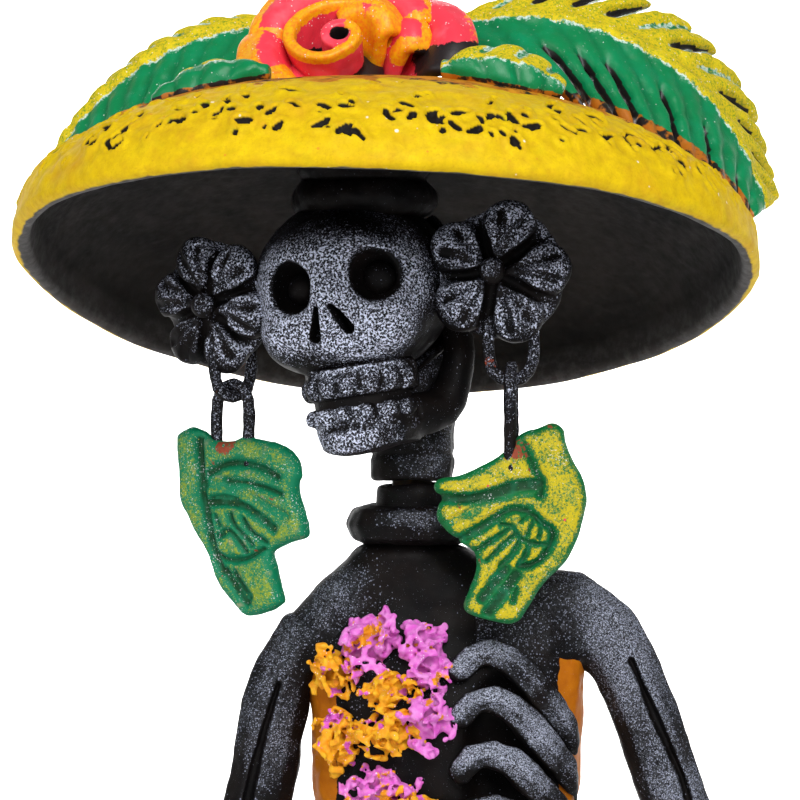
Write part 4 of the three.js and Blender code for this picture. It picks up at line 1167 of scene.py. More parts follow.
def outline_field(outline, xs, zs):
    """Signed distance in the plane to a closed outline, negative inside."""
    p = np.array(outline, float)
    smooth = curve(np.vstack([p[-2:], p, p[:2]]), (len(p) + 3) * 4)[8:-4]
    x, z = np.meshgrid(xs, zs, indexing="ij")
    best = np.full(x.shape, FAR)
    inside = np.zeros(x.shape, bool)
    for a, b in zip(smooth, np.roll(smooth, -1, axis=0)):
        best = np.minimum(best, to_segment(x, z, a, b)[0])
        crosses = (a[1] > z) != (b[1] > z)
        with np.errstate(divide="ignore", invalid="ignore"):
            inside ^= crosses & (x < (b[0] - a[0]) * (z - a[1]) / (b[1] - a[1]) + a[0])
    return np.where(inside, -1, 1) * best


def path_distance(path, steps, xs, zs):
    """Distance in the plane to a path, drawn as a curve of so many steps unless it is straight or steps is 0."""
    x, z = np.meshgrid(xs, zs, indexing="ij")
    points = curve(path, steps) if steps and len(path) > 2 else np.array(path, float)
    return np.min([to_segment(x, z, a, b)[0] for a, b in zip(points[:-1], points[1:])], axis=0)


def make_bird(side, outline, cuts, look):
    """A slab cut to the outline, its wing and tail pressed in on both faces, the belly fuller."""
    half = 2.6
    thinnest = 1.15
    rounding = 2.5
    clay = Clay((-20, -5, -40), (20, 5, 9), 0.26)
    n = clay.field.shape
    xs, ys, zs = (clay.low[k] + clay.step * np.arange(n[k]) for k in range(3))
    plan = outline_field(outline, xs, zs)
    pressed = np.zeros_like(plan)
    for path, depth, width in cuts:
        near = np.clip(1 - path_distance(path, 10, xs, zs) / (width * 2.0), 0, 1)
        pressed = np.maximum(pressed, 1.6 * depth * near ** 1.5)
    way = 1 if side == "left" else -1
    belly_line = [(way * x, z) for x, z in ((8, 2), (11, -5), (11.5, -12), (9, -20), (4, -27))]
    belly = np.clip(1 - path_distance(belly_line, 12, xs, zs) / 5.5, 0, 1)
    band = [(way * x, z) for x, z in ((5, -8.2), (-2, -9.4), (-9, -12.6), (-14, -15))]
    step_down = 0.7 * ramp(path_distance(band, 12, xs, zs), 1.5, 0.6)
    flat = np.stack([np.repeat(xs, n[2]), np.zeros(n[0] * n[2]), np.tile(zs, n[0])], 1)
    swell = 0.45 * patches(flat, 5.0).reshape(plan.shape)
    height = np.maximum(half + 0.55 * np.sqrt(belly) - pressed - step_down + swell, thinnest)
    above = np.abs(ys)[None, :, None] - height[:, None, :]
    clay.field = rounded(plan[:, None, :], above, rounding).astype(np.float32)

    def mark(points, normals, ridge, local):
        ix = np.clip(np.round((local[:, 0] - clay.low[0]) / clay.step).astype(int), 0, n[0] - 1)
        iz = np.clip(np.round((local[:, 2] - clay.low[2]) / clay.step).astype(int), 0, n[2] - 1)
        deep = np.clip((pressed + 0.6 * step_down)[ix, iz] / 1.5, 0, 1)
        rim = ramp(plan[ix, iz], -0.4, -1.7)
        face = ramp(np.abs(local[:, 1]), 1.2, 2.2) * (0.25 + 0.75 * rim)
        wire = np.hypot(local[:, 0] - 0.8 * way, local[:, 2] - 0.6)
        spots = [(-11.0, -11.0), (-6.6, -22.4), (8.0, 5.4), (3.6, -3.6)]
        chip = ramp(wire, 4.2, 1.4) * 0.75
        for sx, sz in spots:
            chip = np.maximum(chip, ramp(np.hypot(local[:, 0] - way * sx, local[:, 2] - sz), 1.2, 0.2) * 0.62)
        return {"deep": deep, "face": face, "chip": chip * ramp(np.abs(local[:, 1]), 0.5, 1.6)}

    finish(clay, side + "_bird_clay", side + "_earring", [side + "_bird"], look, BIRDS[side],
           rough=((4, 0.16), (1.4, 0.08)), mark=mark)


# ---------------------------------------------------------------- hat


def lace_depth():
    """The cuts of the hat's lace: how far each cell of the band is outside them, and the size of a cell.

    A cell's place is along the rim and up the band. Each motif is a few bent cuts round a pit, with leaning
    cuts beside it and pits scattered about.
    """
    cell = 0.2
    band = 30
    motifs = 36
    length = 2 * math.pi * HAT_RADIUS
    picture = np.full((int(length / cell) + 1, int(band / cell)), 9.0)
    rng = np.random.default_rng(41)

    def stroke(points, radius):
        points = np.array(points)
        low = np.floor((points.min(0) - radius - 1.5) / cell).astype(int)
        high = np.ceil((points.max(0) + radius + 1.5) / cell).astype(int)
        low[1], high[1] = max(low[1], 0), min(high[1], picture.shape[1])
        u = np.arange(low[0], high[0])
        best = path_distance(points, 0, u * cell, np.arange(low[1], high[1]) * cell)
        rows = u % picture.shape[0]
        columns = slice(low[1], high[1])
        picture[rows, columns] = np.minimum(picture[rows, columns], best - radius)

    for i in range(motifs):
        at = np.array([(i + rng.uniform(-0.18, 0.18)) * length / motifs, 11.6 + rng.uniform(-2.8, 2.8)])
        arcs = rng.integers(2, 5)
        turn = rng.uniform(0, 2 * math.pi)
        reach = rng.uniform(2.6, 3.6)
        if rng.random() < 0.6:
            stroke([at, at + rng.uniform(-0.8, 0.8, 2)], rng.uniform(0.5, 0.9))
        for k in range(arcs):
            if rng.random() < 0.25:
                continue
            mid = turn + k * 2 * math.pi / arcs + rng.uniform(-0.35, 0.35)
            span = rng.uniform(0.25, 0.60)
            bow = np.linspace(mid - span, mid + span, 6)
            arc = [at + reach * np.array([math.cos(a), math.sin(a)]) for a in bow]
            stroke(arc, rng.uniform(0.45, 0.70))
            stroke(arc[2:5], rng.uniform(0.70, 1.05))
        for _ in range(5):
            start = at + np.array([rng.uniform(4.6, 10.0), rng.uniform(-5.5, 9)])
            lean = rng.uniform(0.3, 1.2) * rng.choice([-1, 1])
            way = np.array([math.cos(lean), math.sin(lean)])
            size = rng.uniform(0.50, 0.95)
            stroke([start, start + rng.uniform(1.2, 3.0) * way], size * 0.6)
            stroke([start, start + 0.6 * way], size)
        for _ in range(5):
            start = np.array([at[0] + rng.uniform(-8, 8), rng.uniform(5, 26)])
            stroke([start, start + rng.uniform(-0.5, 0.5, 2)], rng.uniform(0.3, 0.65))
    return picture, cell


def hat_profile():
    """The hat's section from the top over the rim and back inside: (R, Z, outward R, outward Z, zone).

    The zone of a row is its way up from the rim, in millimetres, and less than 0 from the rim inwards.
    """
    lip_radius = 2.1
    band = 29
    quarter = np.linspace(0, math.pi / 2, 400)
    arc = np.stack([np.cos(quarter), np.sin(quarter)], 1)
    outer = arc * (HAT_RADIUS, HAT_HEIGHT)
    inner = arc * (HAT_RADIUS - HAT_WALL, HAT_HEIGHT - HAT_WALL)
    bend = np.linspace(0, math.pi, 30)[1:-1]
    lip = np.stack([HAT_RADIUS - lip_radius * (1 - np.cos(bend)), -0.9 * lip_radius * np.sin(bend)], 1)
    path = np.vstack([outer[::-1], lip, inner])
    way = way_along(path)
    at_rim = way[len(outer) - 1]
    lip_end = way[len(outer) + len(lip)]
    rows = np.concatenate([
        np.linspace(0, at_rim - band, 26)[:-1], np.linspace(at_rim - band, at_rim, 54)[:-1],
        np.linspace(at_rim, lip_end, 8)[:-1], np.linspace(lip_end, way[-1], 18),
    ])
    # The first and last rows are small rings, closed by the fans.
    rows[0], rows[-1] = 0.02, way[-1] - 0.02
    r, z = (np.interp(rows, way, path[:, k]) for k in range(2))
    slope_r, slope_z = (np.interp(rows + 0.2, way, path[:, k]) - np.interp(rows - 0.2, way, path[:, k])
                        for k in range(2))
    size = np.maximum(np.hypot(slope_r, slope_z), TINY)
    return r, z, -slope_z / size, slope_r / size, at_rim - rows


def read_picture(picture, u, v):
    """Values of a picture that closes on itself along u, between its cells."""
    iu, iv = np.floor(u).astype(int), np.floor(v).astype(int)
    fu, fv = u - iu, v - iv
    here, there = iu % picture.shape[0], (iu + 1) % picture.shape[0]
    low = picture[here, iv] * (1 - fu) + picture[there, iv] * fu
    high = picture[here, iv + 1] * (1 - fu) + picture[there, iv + 1] * fu
    return low * (1 - fv) + high * fv


def make_hat():
    sides = 960
    pit_depth = 1.5
    r, z, out_r, out_z, zone = hat_profile()
    angle = np.linspace(0, 2 * math.pi, sides, endpoint=False)[None, :]
    r, z, out_r, out_z, zone = (row[:, None] for row in (r, z, out_r, out_z, zone))

    def all_round(values):
        return np.broadcast_to(values, (len(r), sides)).reshape(-1)

    picture, cell = lace_depth()
    lace = read_picture(picture, angle * HAT_RADIUS / cell, np.clip(zone / cell, 0, picture.shape[1] - 1.001))
    pit = (ramp(lace, 0.30, -0.30) * (zone > 1.5)).reshape(-1)

    wave = HAT_WAVE * np.minimum(r / HAT_RADIUS, 1) ** 2 * np.cos(2 * angle)
    points = np.stack([all_round(v) for v in (r * np.cos(angle), r * np.sin(angle), z + wave)], 1)
    push = np.stack([all_round(v) for v in (out_r * np.cos(angle), out_r * np.sin(angle), out_z)], 1)
    banded = all_round(ramp(zone, 0.5, 4) * ramp(zone, 30, 25))
    bumps = 0.40 * lumps(points, 4.2) + 0.22 * lumps(points + 50, 1.8) * (0.3 + 0.7 * banded)
    soft = 0.35 * patches(points, 22) + 0.12 * lumps(points, 7)
    shift = np.where(all_round(zone > -0.5), bumps * (0.45 + 0.55 * banded) + 0.3 * patches(points, 14), soft)
    raised = all_round(ramp(lace, 1.7, 0.5) * 0.50) * banded
    shift = shift + raised - pit_depth * pit
    points, triangles, quads = lathe_faces(points + push * shift[:, None], len(r), sides)
    world = moved(HAT, points)
    triangles, quads = turned_out(world, triangles, quads, 2)
    # At the sides the yellow band is lower, so the crown's paint starts sooner there.
    aside = ramp(np.abs(np.cos(angle)), 0.55, 0.90)
    crown = all_round(zone + 9.0 * ramp(zone, 14, 22) * aside)
    write_piece("hat_clay", world, triangles, quads, "head", ["hat_brim"], HAT_PAINT, {
        "zone": np.concatenate([crown, [zone[0, 0], zone[-1, 0]]]),
        "pit": np.concatenate([pit, [0, 0]]),
        "ridge": np.concatenate([(shift - shift.mean()) * 0.5, [0, 0]]),
    })


def sheet_solid(grid, thickness):
    """A closed solid from a grid of points, thick by an even amount: (points, quads)."""
    m, n = grid.shape[:2]
    du = np.gradient(grid, axis=0)
    dv = np.gradient(grid, axis=1)
    normal = np.cross(du, dv)
    normal /= np.maximum(np.linalg.norm(normal, axis=2, keepdims=True), TINY)
    points = np.concatenate([(grid + side * normal * thickness / 2).reshape(-1, 3) for side in (1, -1)])
    index = np.arange(m * n).reshape(m, n)
    front = np.stack([index[:-1, :-1], index[1:, :-1], index[1:, 1:], index[:-1, 1:]], 2).reshape(-1, 4)
    back = front[:, ::-1] + m * n
    edge = np.concatenate([index[0, :-1], index[:-1, -1], index[-1, :0:-1], index[:0:-1, 0]])
    after = np.roll(edge, -1)
    wall = np.stack([edge, after, after + m * n, edge + m * n], 1)
    return points, np.vstack([front, back, wall])


def near_line(points, line):
    """(distance to the nearest point of a line, which point that is)"""
    best = np.full(len(points), 99.0)
    which = np.zeros(len(points), int)
    for i, q in enumerate(line):
        d = np.linalg.norm(points - q, axis=1)
        which = np.where(d < best, i, which)
        best = np.minimum(best, d)
    return best, which


def make_rose():
    """A thick coiled petal in the middle with three wrapped round it and five opening outside them."""
    steps, rows = 84, 20
    turns = np.linspace(0, 1, steps)
    angle = np.radians(-10 - 640 * turns)
    spread = np.interp(turns, (0, 0.27, 0.41, 0.55, 0.62, 0.69, 0.77, 0.84, 0.97, 1),
                       (2.5, 2.9, 3.2, 3.5, 3.8, 4.7, 8.2, 10.6, 12.2, 12.4))
    lips = np.interp(turns, (0, 0.45, 0.6, 0.8, 1), (16.0, 16.5, 16.8, 15.8, 14.5))
    grid = np.zeros((steps, rows, 3))
    for j, level in enumerate(np.linspace(0, 1, rows)):
        radius = spread * (0.66 + 0.34 * level**0.8)
        grid[:, j] = np.stack([radius * np.cos(angle) - 1.2, radius * np.sin(angle) + 1.0, lips * level], 1)
    points, quads = sheet_solid(grid, 0.9)
    clay = Clay.of_polygons(points, None, quads, 0.32, 0.8)
    clay.soften(0.3)
    clay.add(ellipsoid((-1, 1, 3), (9.0, 9.0, 5.0)), 1.0)
    clay.cut(coil([(-1.2, 1.0, 10), (-1.2, 1.0, 22)], (1.0, 1.7)), 0.4)
    clay.rest_on_hat(HAT.inverted() @ ROSE)
    lip = grid[:, -1]

    def mark(points, normals, ridge, local):
        distance, which = near_line(local, lip)
        late = ramp(turns[which], 0.40, 0.50)
        edge = ramp(distance, 2.7, 1.4) * late
        # Painted shade: black inside the middle of the coil and low down on the heart.
        middle = np.hypot(local[:, 0] + 1.2, local[:, 1] - 1.0)
        black = ramp(middle, 2.4, 1.9) * ramp(local[:, 2], 17.3, 16.3)
        deep = ramp(local[:, 2], 10.5, 8.0) * ramp(middle, 9, 8)
        return {"edge": edge, "black": np.maximum(black, deep)}

    finish(clay, "rose_heart", "head", ["rose_bud"], ROSE_PAINT, ROSE,
           rough=((5, 0.30), (2, 0.10)), mark=mark)
    for number, petal in enumerate(PETALS, 1):
        make_petal(number, *petal)


# Angle round the rose (0 is her left, 90 is up), reach of the lip, half span in degrees, height of the lip,
# how far the lip rolls out, how wide its yellow edge is and how strong.
PETALS = [
    (21, 16.0, 15, 12.8, 2.0, 3.6, 0.95), (58, 11.4, 34, 16.0, 3.8, 8.5, 1.0),
    (222, 13.8, 50, 10.0, 1.4, 1.6, 0.36), (13, 24.5, 32, 12.0, 2.0, 3.0, 0.50),
    (62, 20.5, 38, 14.5, 2.6, 4.0, 0.80), (122, 19.5, 40, 15.5, 2.6, 4.0, 1.0),
    (178, 18.6, 38, 14.0, 4.2, 8.0, 1.0), (270, 14.6, 58, 7.4, 1.6, 1.5, 0.40),
]


def make_petal(number, middle, reach, span, height, roll, wide, strong):
    steps, rows = 34, 22
    root = -3.0
    u = np.linspace(-1, 1, steps)
    grid = np.zeros((steps, rows, 3))
    for j, v in enumerate(np.linspace(0, 1, rows)):
        around = np.radians(middle + span * u * (0.86 + 0.14 * v))
        bulge = 1 - 0.10 * u**2
        radius = reach * (0.40 + 0.60 * v**0.85) * bulge + roll * max(v - 0.74, 0) * 3.0
        top = height * (1 - 0.16 * u**2)
        climb = math.sin(math.pi / 2 * min(v * 1.18, 1))
        rise = root + (top - root) * climb - roll * max(v - 0.82, 0) * 4.0
        grid[:, j] = np.stack([radius * np.cos(around), radius * np.sin(around), rise], 1)
    points, quads = sheet_solid(grid, 1.0)
    clay = Clay.of_polygons(points, None, quads, 0.34, 1.0)
    clay.soften(0.3)
    clay.rest_on_hat(HAT.inverted() @ ROSE)
    lip = np.vstack([grid[:, -1], grid[0, 12:], grid[-1, 12:]])

    def mark(points, normals, ridge, local):
        distance, _ = near_line(local, lip[::2])
        level = 0.73 * local[:, 1] + 0.68 * local[:, 2]
        # Painted shade: black low on the petals on her left side, in the gap beside the coil.
        black = ramp(local[:, 0], 12.0, 15.0) * ramp(level, 9.0, 6.4)
        return {"edge": ramp(distance, wide, wide * 0.45) * strong, "black": black}

    finish(clay, "rose_sheet_%d" % number, "head", ["rose_petal_%d" % number], ROSE_PAINT, ROSE,
           rough=((6, 0.5), (2.2, 0.12)), mark=mark)


class Blade:
    """A feathered leaf: puffed fingers on both sides of a midrib, worked along the spine and across it."""

    def __init__(self, spine, edge, up, down, thick, spacing, slant, slot, above, below, bend, seed):
        """up and down are the fingers' reach on the two sides, times above and below along the spine; edge is
        the way the upper side points; slot is the depth of the slots; bend bows the two sides."""
        self.spine = curve(spine, 26)
        self.edge = np.array(edge, float) / np.linalg.norm(edge)
        self.up, self.down, self.thick, self.slot = up, down, thick, slot
        self.spacing, self.slant, self.above, self.below, self.bend = spacing, slant, above, below, bend
        self.at = way_along(self.spine)
        self.foot = 3.6 if slot > 0.4 else 1.6
        self.black = np.random.default_rng(seed).random(64)

    def across(self, points):
        """Along the spine, across it (up is positive), out towards the front, and past its ends."""
        best = np.full(len(points), 1e9, np.float32)
        s, w, h, past = (np.zeros(len(points), np.float32) for _ in range(4))
        last = len(self.spine) - 2
        for i, (a, b) in enumerate(zip(self.spine[:-1], self.spine[1:])):
            length = np.linalg.norm(b - a)
            along = (b - a) / length
            side = self.edge - along * (self.edge @ along)
            side /= np.linalg.norm(side)
            front = np.cross(along, side)
            if front[1] > 0:
                front = -front
            off = points - a
            run = off @ along
            x, y = off @ side, off @ front
            t = np.clip(run, 0, length)
            d = (run - t) ** 2 + x * x + y * y
            closer = d < best
            best = np.where(closer, d, best)
            s = np.where(closer, self.at[i] + t, s)
            w = np.where(closer, x, w)
            h = np.where(closer, y, h)
            beyond = run - length if i == last else -run * (i == 0)
            past = np.where(closer, np.maximum(beyond, 0), past)
        return s, w, h, past

    def finger(self, s, w):
        """Which finger a place is on, how far off its middle (-0.5 to 0.5), and the finger's reach."""
        root = s - self.slant * np.abs(w)
        c = root / self.spacing
        f = c - np.floor(c) - 0.5
        share = np.clip(root / self.at[-1], 0, 1)
        upper = self.up * np.interp(share, np.linspace(0, 1, len(self.above)), self.above)
        lower = self.down * np.interp(share, np.linspace(0, 1, len(self.below)), self.below)
        reach = np.where(w > 0, upper, lower) * (1 - 0.14 * (2 * f) ** 4)
        return np.floor(c).astype(int), f, np.maximum(reach, 0.6)

    def open_slot(self, which, f, part, w):
        """How open the slot beside a finger is: some are cut through to black, the others only pressed."""
        lucky = self.black[(which + np.where(f > 0, 1, 0) + np.where(w > 0, 0, 29)) % 64]
        place = ramp(part, 0.26, 0.44) * ramp(part, 1.10, 0.98)
        return np.where(lucky < np.where(w > 0, 0.80, 0.30), 1.0, 0.25) * ramp(np.abs(f), 0.23, 0.37) * place

    def field(self, points):
        """The leaf's distance function."""
        s, w, h, past = self.across(points)
        which, f, reach = self.finger(s, w)
        part = np.abs(w) / reach
        puff = np.sqrt(np.clip(1 - (1.9 * f) ** 2, 0.05, 1))
        height = self.thick * 0.5 * (0.62 + 0.38 * puff) * np.sqrt(np.clip(1.08 - part**3, 0.1, 1))
        height = height + 0.7 * np.exp(-((w / 1.8) ** 2))
        height = height - self.slot * self.open_slot(which, f, part, w)
        bow = np.where(w > 0, self.bend[0], self.bend[1]) * part**2
        return rounded(np.abs(h - bow) - height, np.maximum(np.abs(w) - reach, past - 1.2), 1.0)

    def make(self, node, step, shade, brush=1.0):
        """Makes the piece. The yellow brushing starts at shade, across the spine, and is as strong as brush."""
        margin = max(self.up, self.down) + 3
        clay = Clay(self.spine.min(0) - margin, self.spine.max(0) + margin, step)
        points = clay.places()
        nearby = np.zeros(len(points), bool)
        for a in self.spine[::2]:
            nearby |= ((points - a.astype(np.float32)) ** 2).sum(1) < (margin + 1) ** 2
        clay.fill(nearby, self.field(points[nearby]), FAR)
        clay.soften(0.3)
        clay.rest_on_hat(Matrix.Identity(4))

        def mark(points, normals, ridge, local):
            s, w, h, _ = self.across(local)
            which, f, reach = self.finger(s, w)
            part = np.abs(w) / reach
            sun = ramp(w, shade - 1.6, shade + 1.4) * brush
            sun *= 1 - 0.62 * ramp(np.abs(f), 0.26, 0.44) * ramp(part, 0.15, 0.4)
            sun *= 1 - 0.6 * ramp(h, -0.6, -1.4)
            black = self.open_slot(which, f, part, w) * 1.1 * (h > -1.0) * (self.slot > 0.6)
            foot = ramp(above_dome(local), self.foot, self.foot * 0.4)
            return {"sun": np.maximum(sun, 0), "black": black, "foot": foot}

        finish(clay, node + "_blade", "head", [node], LEAF_PAINT, HAT,
               rough=((4, 0.30), (1.5, 0.10)), mark=mark, ridge_radius=1.3)


def make_leaves():
    """Two fronds with long fingers, and two small leaves that are the same on both sides."""
    spine = [(12, -25, 46.5), (30, -28.5, 47), (45, -27, 44.2), (59, -23.2, 38.2), (70, -17.8, 28.5),
             (78, -12, 14)]
    frond = Blade(spine, edge=(0.1, 0.45, 0.9), up=21.5, down=27.0, thick=5.8, spacing=6.8, slant=0.80, slot=2.4,
                  above=(0.30, 0.86, 1.0, 1.0, 0.84, 0.48), below=(0.7, 1.12, 1.03, 1.0, 0.85, 0.60),
                  bend=(-1.5, 2.2), seed=7)
    frond.make("left_frond", 0.45, -1.2)
    spine = [(-20, -15, 50.5), (-36, -17, 46.5), (-48, -16, 41.5), (-59, -12.5, 34), (-67.5, -8, 24.5),
             (-73.5, -4, 14)]
    frond = Blade(spine, edge=(-0.1, 0.45, 0.9), up=7.0, down=19.0, thick=6.0, spacing=6.0, slant=0.75, slot=0.5,
                  above=(0.4, 1.0, 0.95, 0.75, 0.45, 0.30), below=(0.4, 1.0, 0.95, 0.75, 0.50, 0.16),
                  bend=(-1.5, 1.2), seed=12)
    frond.make("right_frond", 0.45, -2.4)
    share = (0.5, 0.95, 1.0, 0.85, 0.35)
    leaf = Blade([(11.5, -48.0, 27.0), (18, -49.8, 27.8), (26, -48.9, 27.0), (33.0, -46.4, 24.4)],
                 edge=(0, 0.35, 0.9), up=6.8, down=5.4, thick=7.2, spacing=6.2, slant=0.5, slot=0.3,
                 above=share, below=share, bend=(0, 0), seed=3)
    leaf.make("left_leaf", 0.34, -0.4, 0.80)
    share = (0.5, 0.9, 1.0, 0.85, 0.4)
    leaf = Blade([(-25.5, -45.6, 26.0), (-34, -44, 26.2), (-41, -41, 24.6), (-46.5, -38, 22.0)],
                 edge=(0, 0.35, 0.9), up=4.6, down=5.0, thick=6.6, spacing=6.0, slant=0.5, slot=0.3,
                 above=share, below=share, bend=(0, 0), seed=4)
    leaf.make("right_leaf", 0.34, 1.8, 0.8)


# ---------------------------------------------------------------- body


def make_torso():
    """The chest with a coil on each shoulder, mustard at the sides and back, and the ribs laid on it."""
    rib_end = 39.6
    clay = Clay.of_node("torso", 0.55, 0.0, 8.0)
    shoulders = ([(-6, 0, 274), (-12, 0, 269.2), (-18.5, 0, 264.0)], [(13, 0, 274), (20, 0, 270), (27, 0, 266)])
    for path in shoulders:
        clay.add(coil(moved(SHIFT, np.array(path)), (6.2, 6.2, 4.6), (1, 0.75, 1)), 5)
    clay.soften(1.5)

    def mark(points, normals, ridge, local):
        x, y, z = (points - SHIFT.translation - (CHEST_X, 0, 0)).T
        cover = np.maximum(ramp(np.abs(x), 22.2, 25.4), ramp(y, 2, 6)) * ramp(z, 264, 258)
        spray = spray_marks(points, normals, ridge, 0.55, -0.08)
        spray *= 0.05 + 0.95 * ramp(np.abs(x), 7, 22) * ramp(z, 236, 262)
        return {"mustard": cover, "spray": spray, "chip": np.zeros(len(points))}

    finish(clay, "torso_clay", "figure", ["torso"], TORSO_CLAY, None,
           rough=((7, 0.45), (2.2, 0.14)), mark=mark)
    for i in range(1, 5):
        rib = Clay.of_node("rib_%d" % i, 0.34, 0.45)
        across = rib.low[0] + rib.step * np.arange(rib.field.shape[0], dtype=np.float32)
        past = (across - SHIFT.translation.x - rib_end)[:, None, None]
        rib.field = -smooth_min(-rib.field, -past, 2.5)
        rib.soften(0.8)
        finish(rib, "rib_coil_%d" % i, "figure", ["rib_%d" % i], BLACK_CLAY, None,
               rough=((4, 0.35), (1.5, 0.10)), mark=no_chip, spray=0.95, bias=0.02)


def make_limbs():
    """Arms that run smoothly into the shoulders, each with a cut down its front, and the hands."""
    cuts = {
        "left": [(50.4, -6, 257), (54.6, -6, 247), (58.6, -6, 238), (62.2, -6, 229), (65.0, -8, 216)],
        "right": [(-25.2, -6, 252), (-28.0, -6, 243), (-30.4, -6, 234), (-32.6, -6, 224), (-34.4, -8, 214)],
    }
    blend = 6.0
    for side, path in cuts.items():
        arm = Clay.of_node(side + "_arm", 0.45, 0.0, 8.0)
        arm.soften(1.1)
        own = arm.field.copy()
        fade = ramp(arm.low[2] + arm.step * np.arange(own.shape[2]), 250, 260)[None, None, :]
        torso = arm.distance_to("torso", blend + 1)
        joined = smooth_min(own, torso - 0.05, blend)
        joined = -smooth_min(-joined, -(own - (blend - 0.4)), 1.0)
        arm.field = (own + (np.minimum(joined, own) - own) * fade).astype(np.float32)
        curtain = coil(curve(moved(SHIFT, np.array(path)), 16), (0.15, 0.35, 0.3, 0.15), (1, 0.25, 1))
        arm.engrave(curtain, 1.7, 0.85)

        def mark(points, normals, ridge, local, side=side):
            near_chest = ramp(np.abs(points[:, 0] - SHIFT.translation.x - CHEST_X), 24, 33)
            # Painted shade: her right arm gets less spray than her left, so it reads darker, as the side away
            # from the light.
            spray = spray_marks(points, normals, ridge, 0.72 if side == "left" else 0.50, 0.02)
            return {"spray": spray * (0.35 + 0.65 * near_chest), "chip": np.zeros(len(points))}

        finish(arm, side + "_arm_clay", "figure", [side + "_arm"], BLACK_CLAY, None,
               rough=((6, 0.35), (2, 0.12)), mark=mark)
        palm = Clay.of_node(side + "_hand", 0.3, 0.15)
        palm.soften(0.45)
        finish(palm, side + "_hand_clay", "figure", [side + "_hand"], BLACK_CLAY, None,
               rough=((3, 0.2), (1.2, 0.08)), mark=no_chip, spray=0.7, bias=0.1)


def make_neck():
    """The neck with the seam between its coils, the ring it stands over, and the peg in both."""
    for node, body, soft, spray in (("neck", "head", 0.5, 0.50), ("neck_ring", "figure", 1.0, 0.60)):
        clay = Clay.of_node(node, 0.4)
        clay.soften(soft)
        if node == "neck":
            turns = np.linspace(0, 2 * math.pi, 40)
            seam = [(PEG_X + 9.6 * math.cos(t), 9.6 * math.sin(t), 301.4) for t in turns]
            clay.engrave(coil(moved(SHIFT, np.array(seam)), (0.1,)), 0.9, 1.1)
        finish(clay, node + "_clay", body, [node], BLACK_CLAY, None,
               rough=((5, 0.4), (1.8, 0.12)), mark=no_chip, spray=spray)
    clay = Clay.of_node("neck_peg", 0.3)
    clay.soften(0.4)
    finish(clay, "neck_peg_wood", "peg", ["neck_peg"], WOOD, None, rough=((6, 0.1),))


def make_moss():
    """Crumpled clumps: thin folded sheets of clay round a core, full of holes."""
    folds = Noise(57)
    for number, node in enumerate(n for n in sorted(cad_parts) if n.startswith("flower_")):
        low, high = corners_of(node)
        middle, half = (low + high) / 2, (high - low) / 2
        clay = Clay(low - 2.2, high + 2.2, 0.27)
        points = clay.places()
        bounds = ellipsoid(middle, half * 1.12).distance(*points.T)
        inside = bounds < 2.6
        near = points[inside]
        bend = folds(near + 31 * number, 3.6, 2)
        crease = np.abs(folds(near * (1, 1.15, 1) + 17 * number, 2.2, 2))
        sheets = (crease - 0.17) * 1.9
        edge = bounds[inside] + 3.0 * bend + 0.6
        bits = 0.8 - 1.9 * folds(near - 11 * number, 1.25)
        clay.fill(inside, np.maximum(np.minimum(sheets, bits), edge), 3.0)
        clay.add(ellipsoid(middle + np.array([0, half[1] * 0.45, 0]), half * (0.62, 0.45, 0.62)), 0.6)
        clay.soften(0.22)
        orange = "orange" in node
        finish(clay, node + "_moss", "figure", [node],
               ORANGE_MOSS if orange else MAGENTA_MOSS, None, rough=((1.2, 0.08),), ridge_radius=0.8)


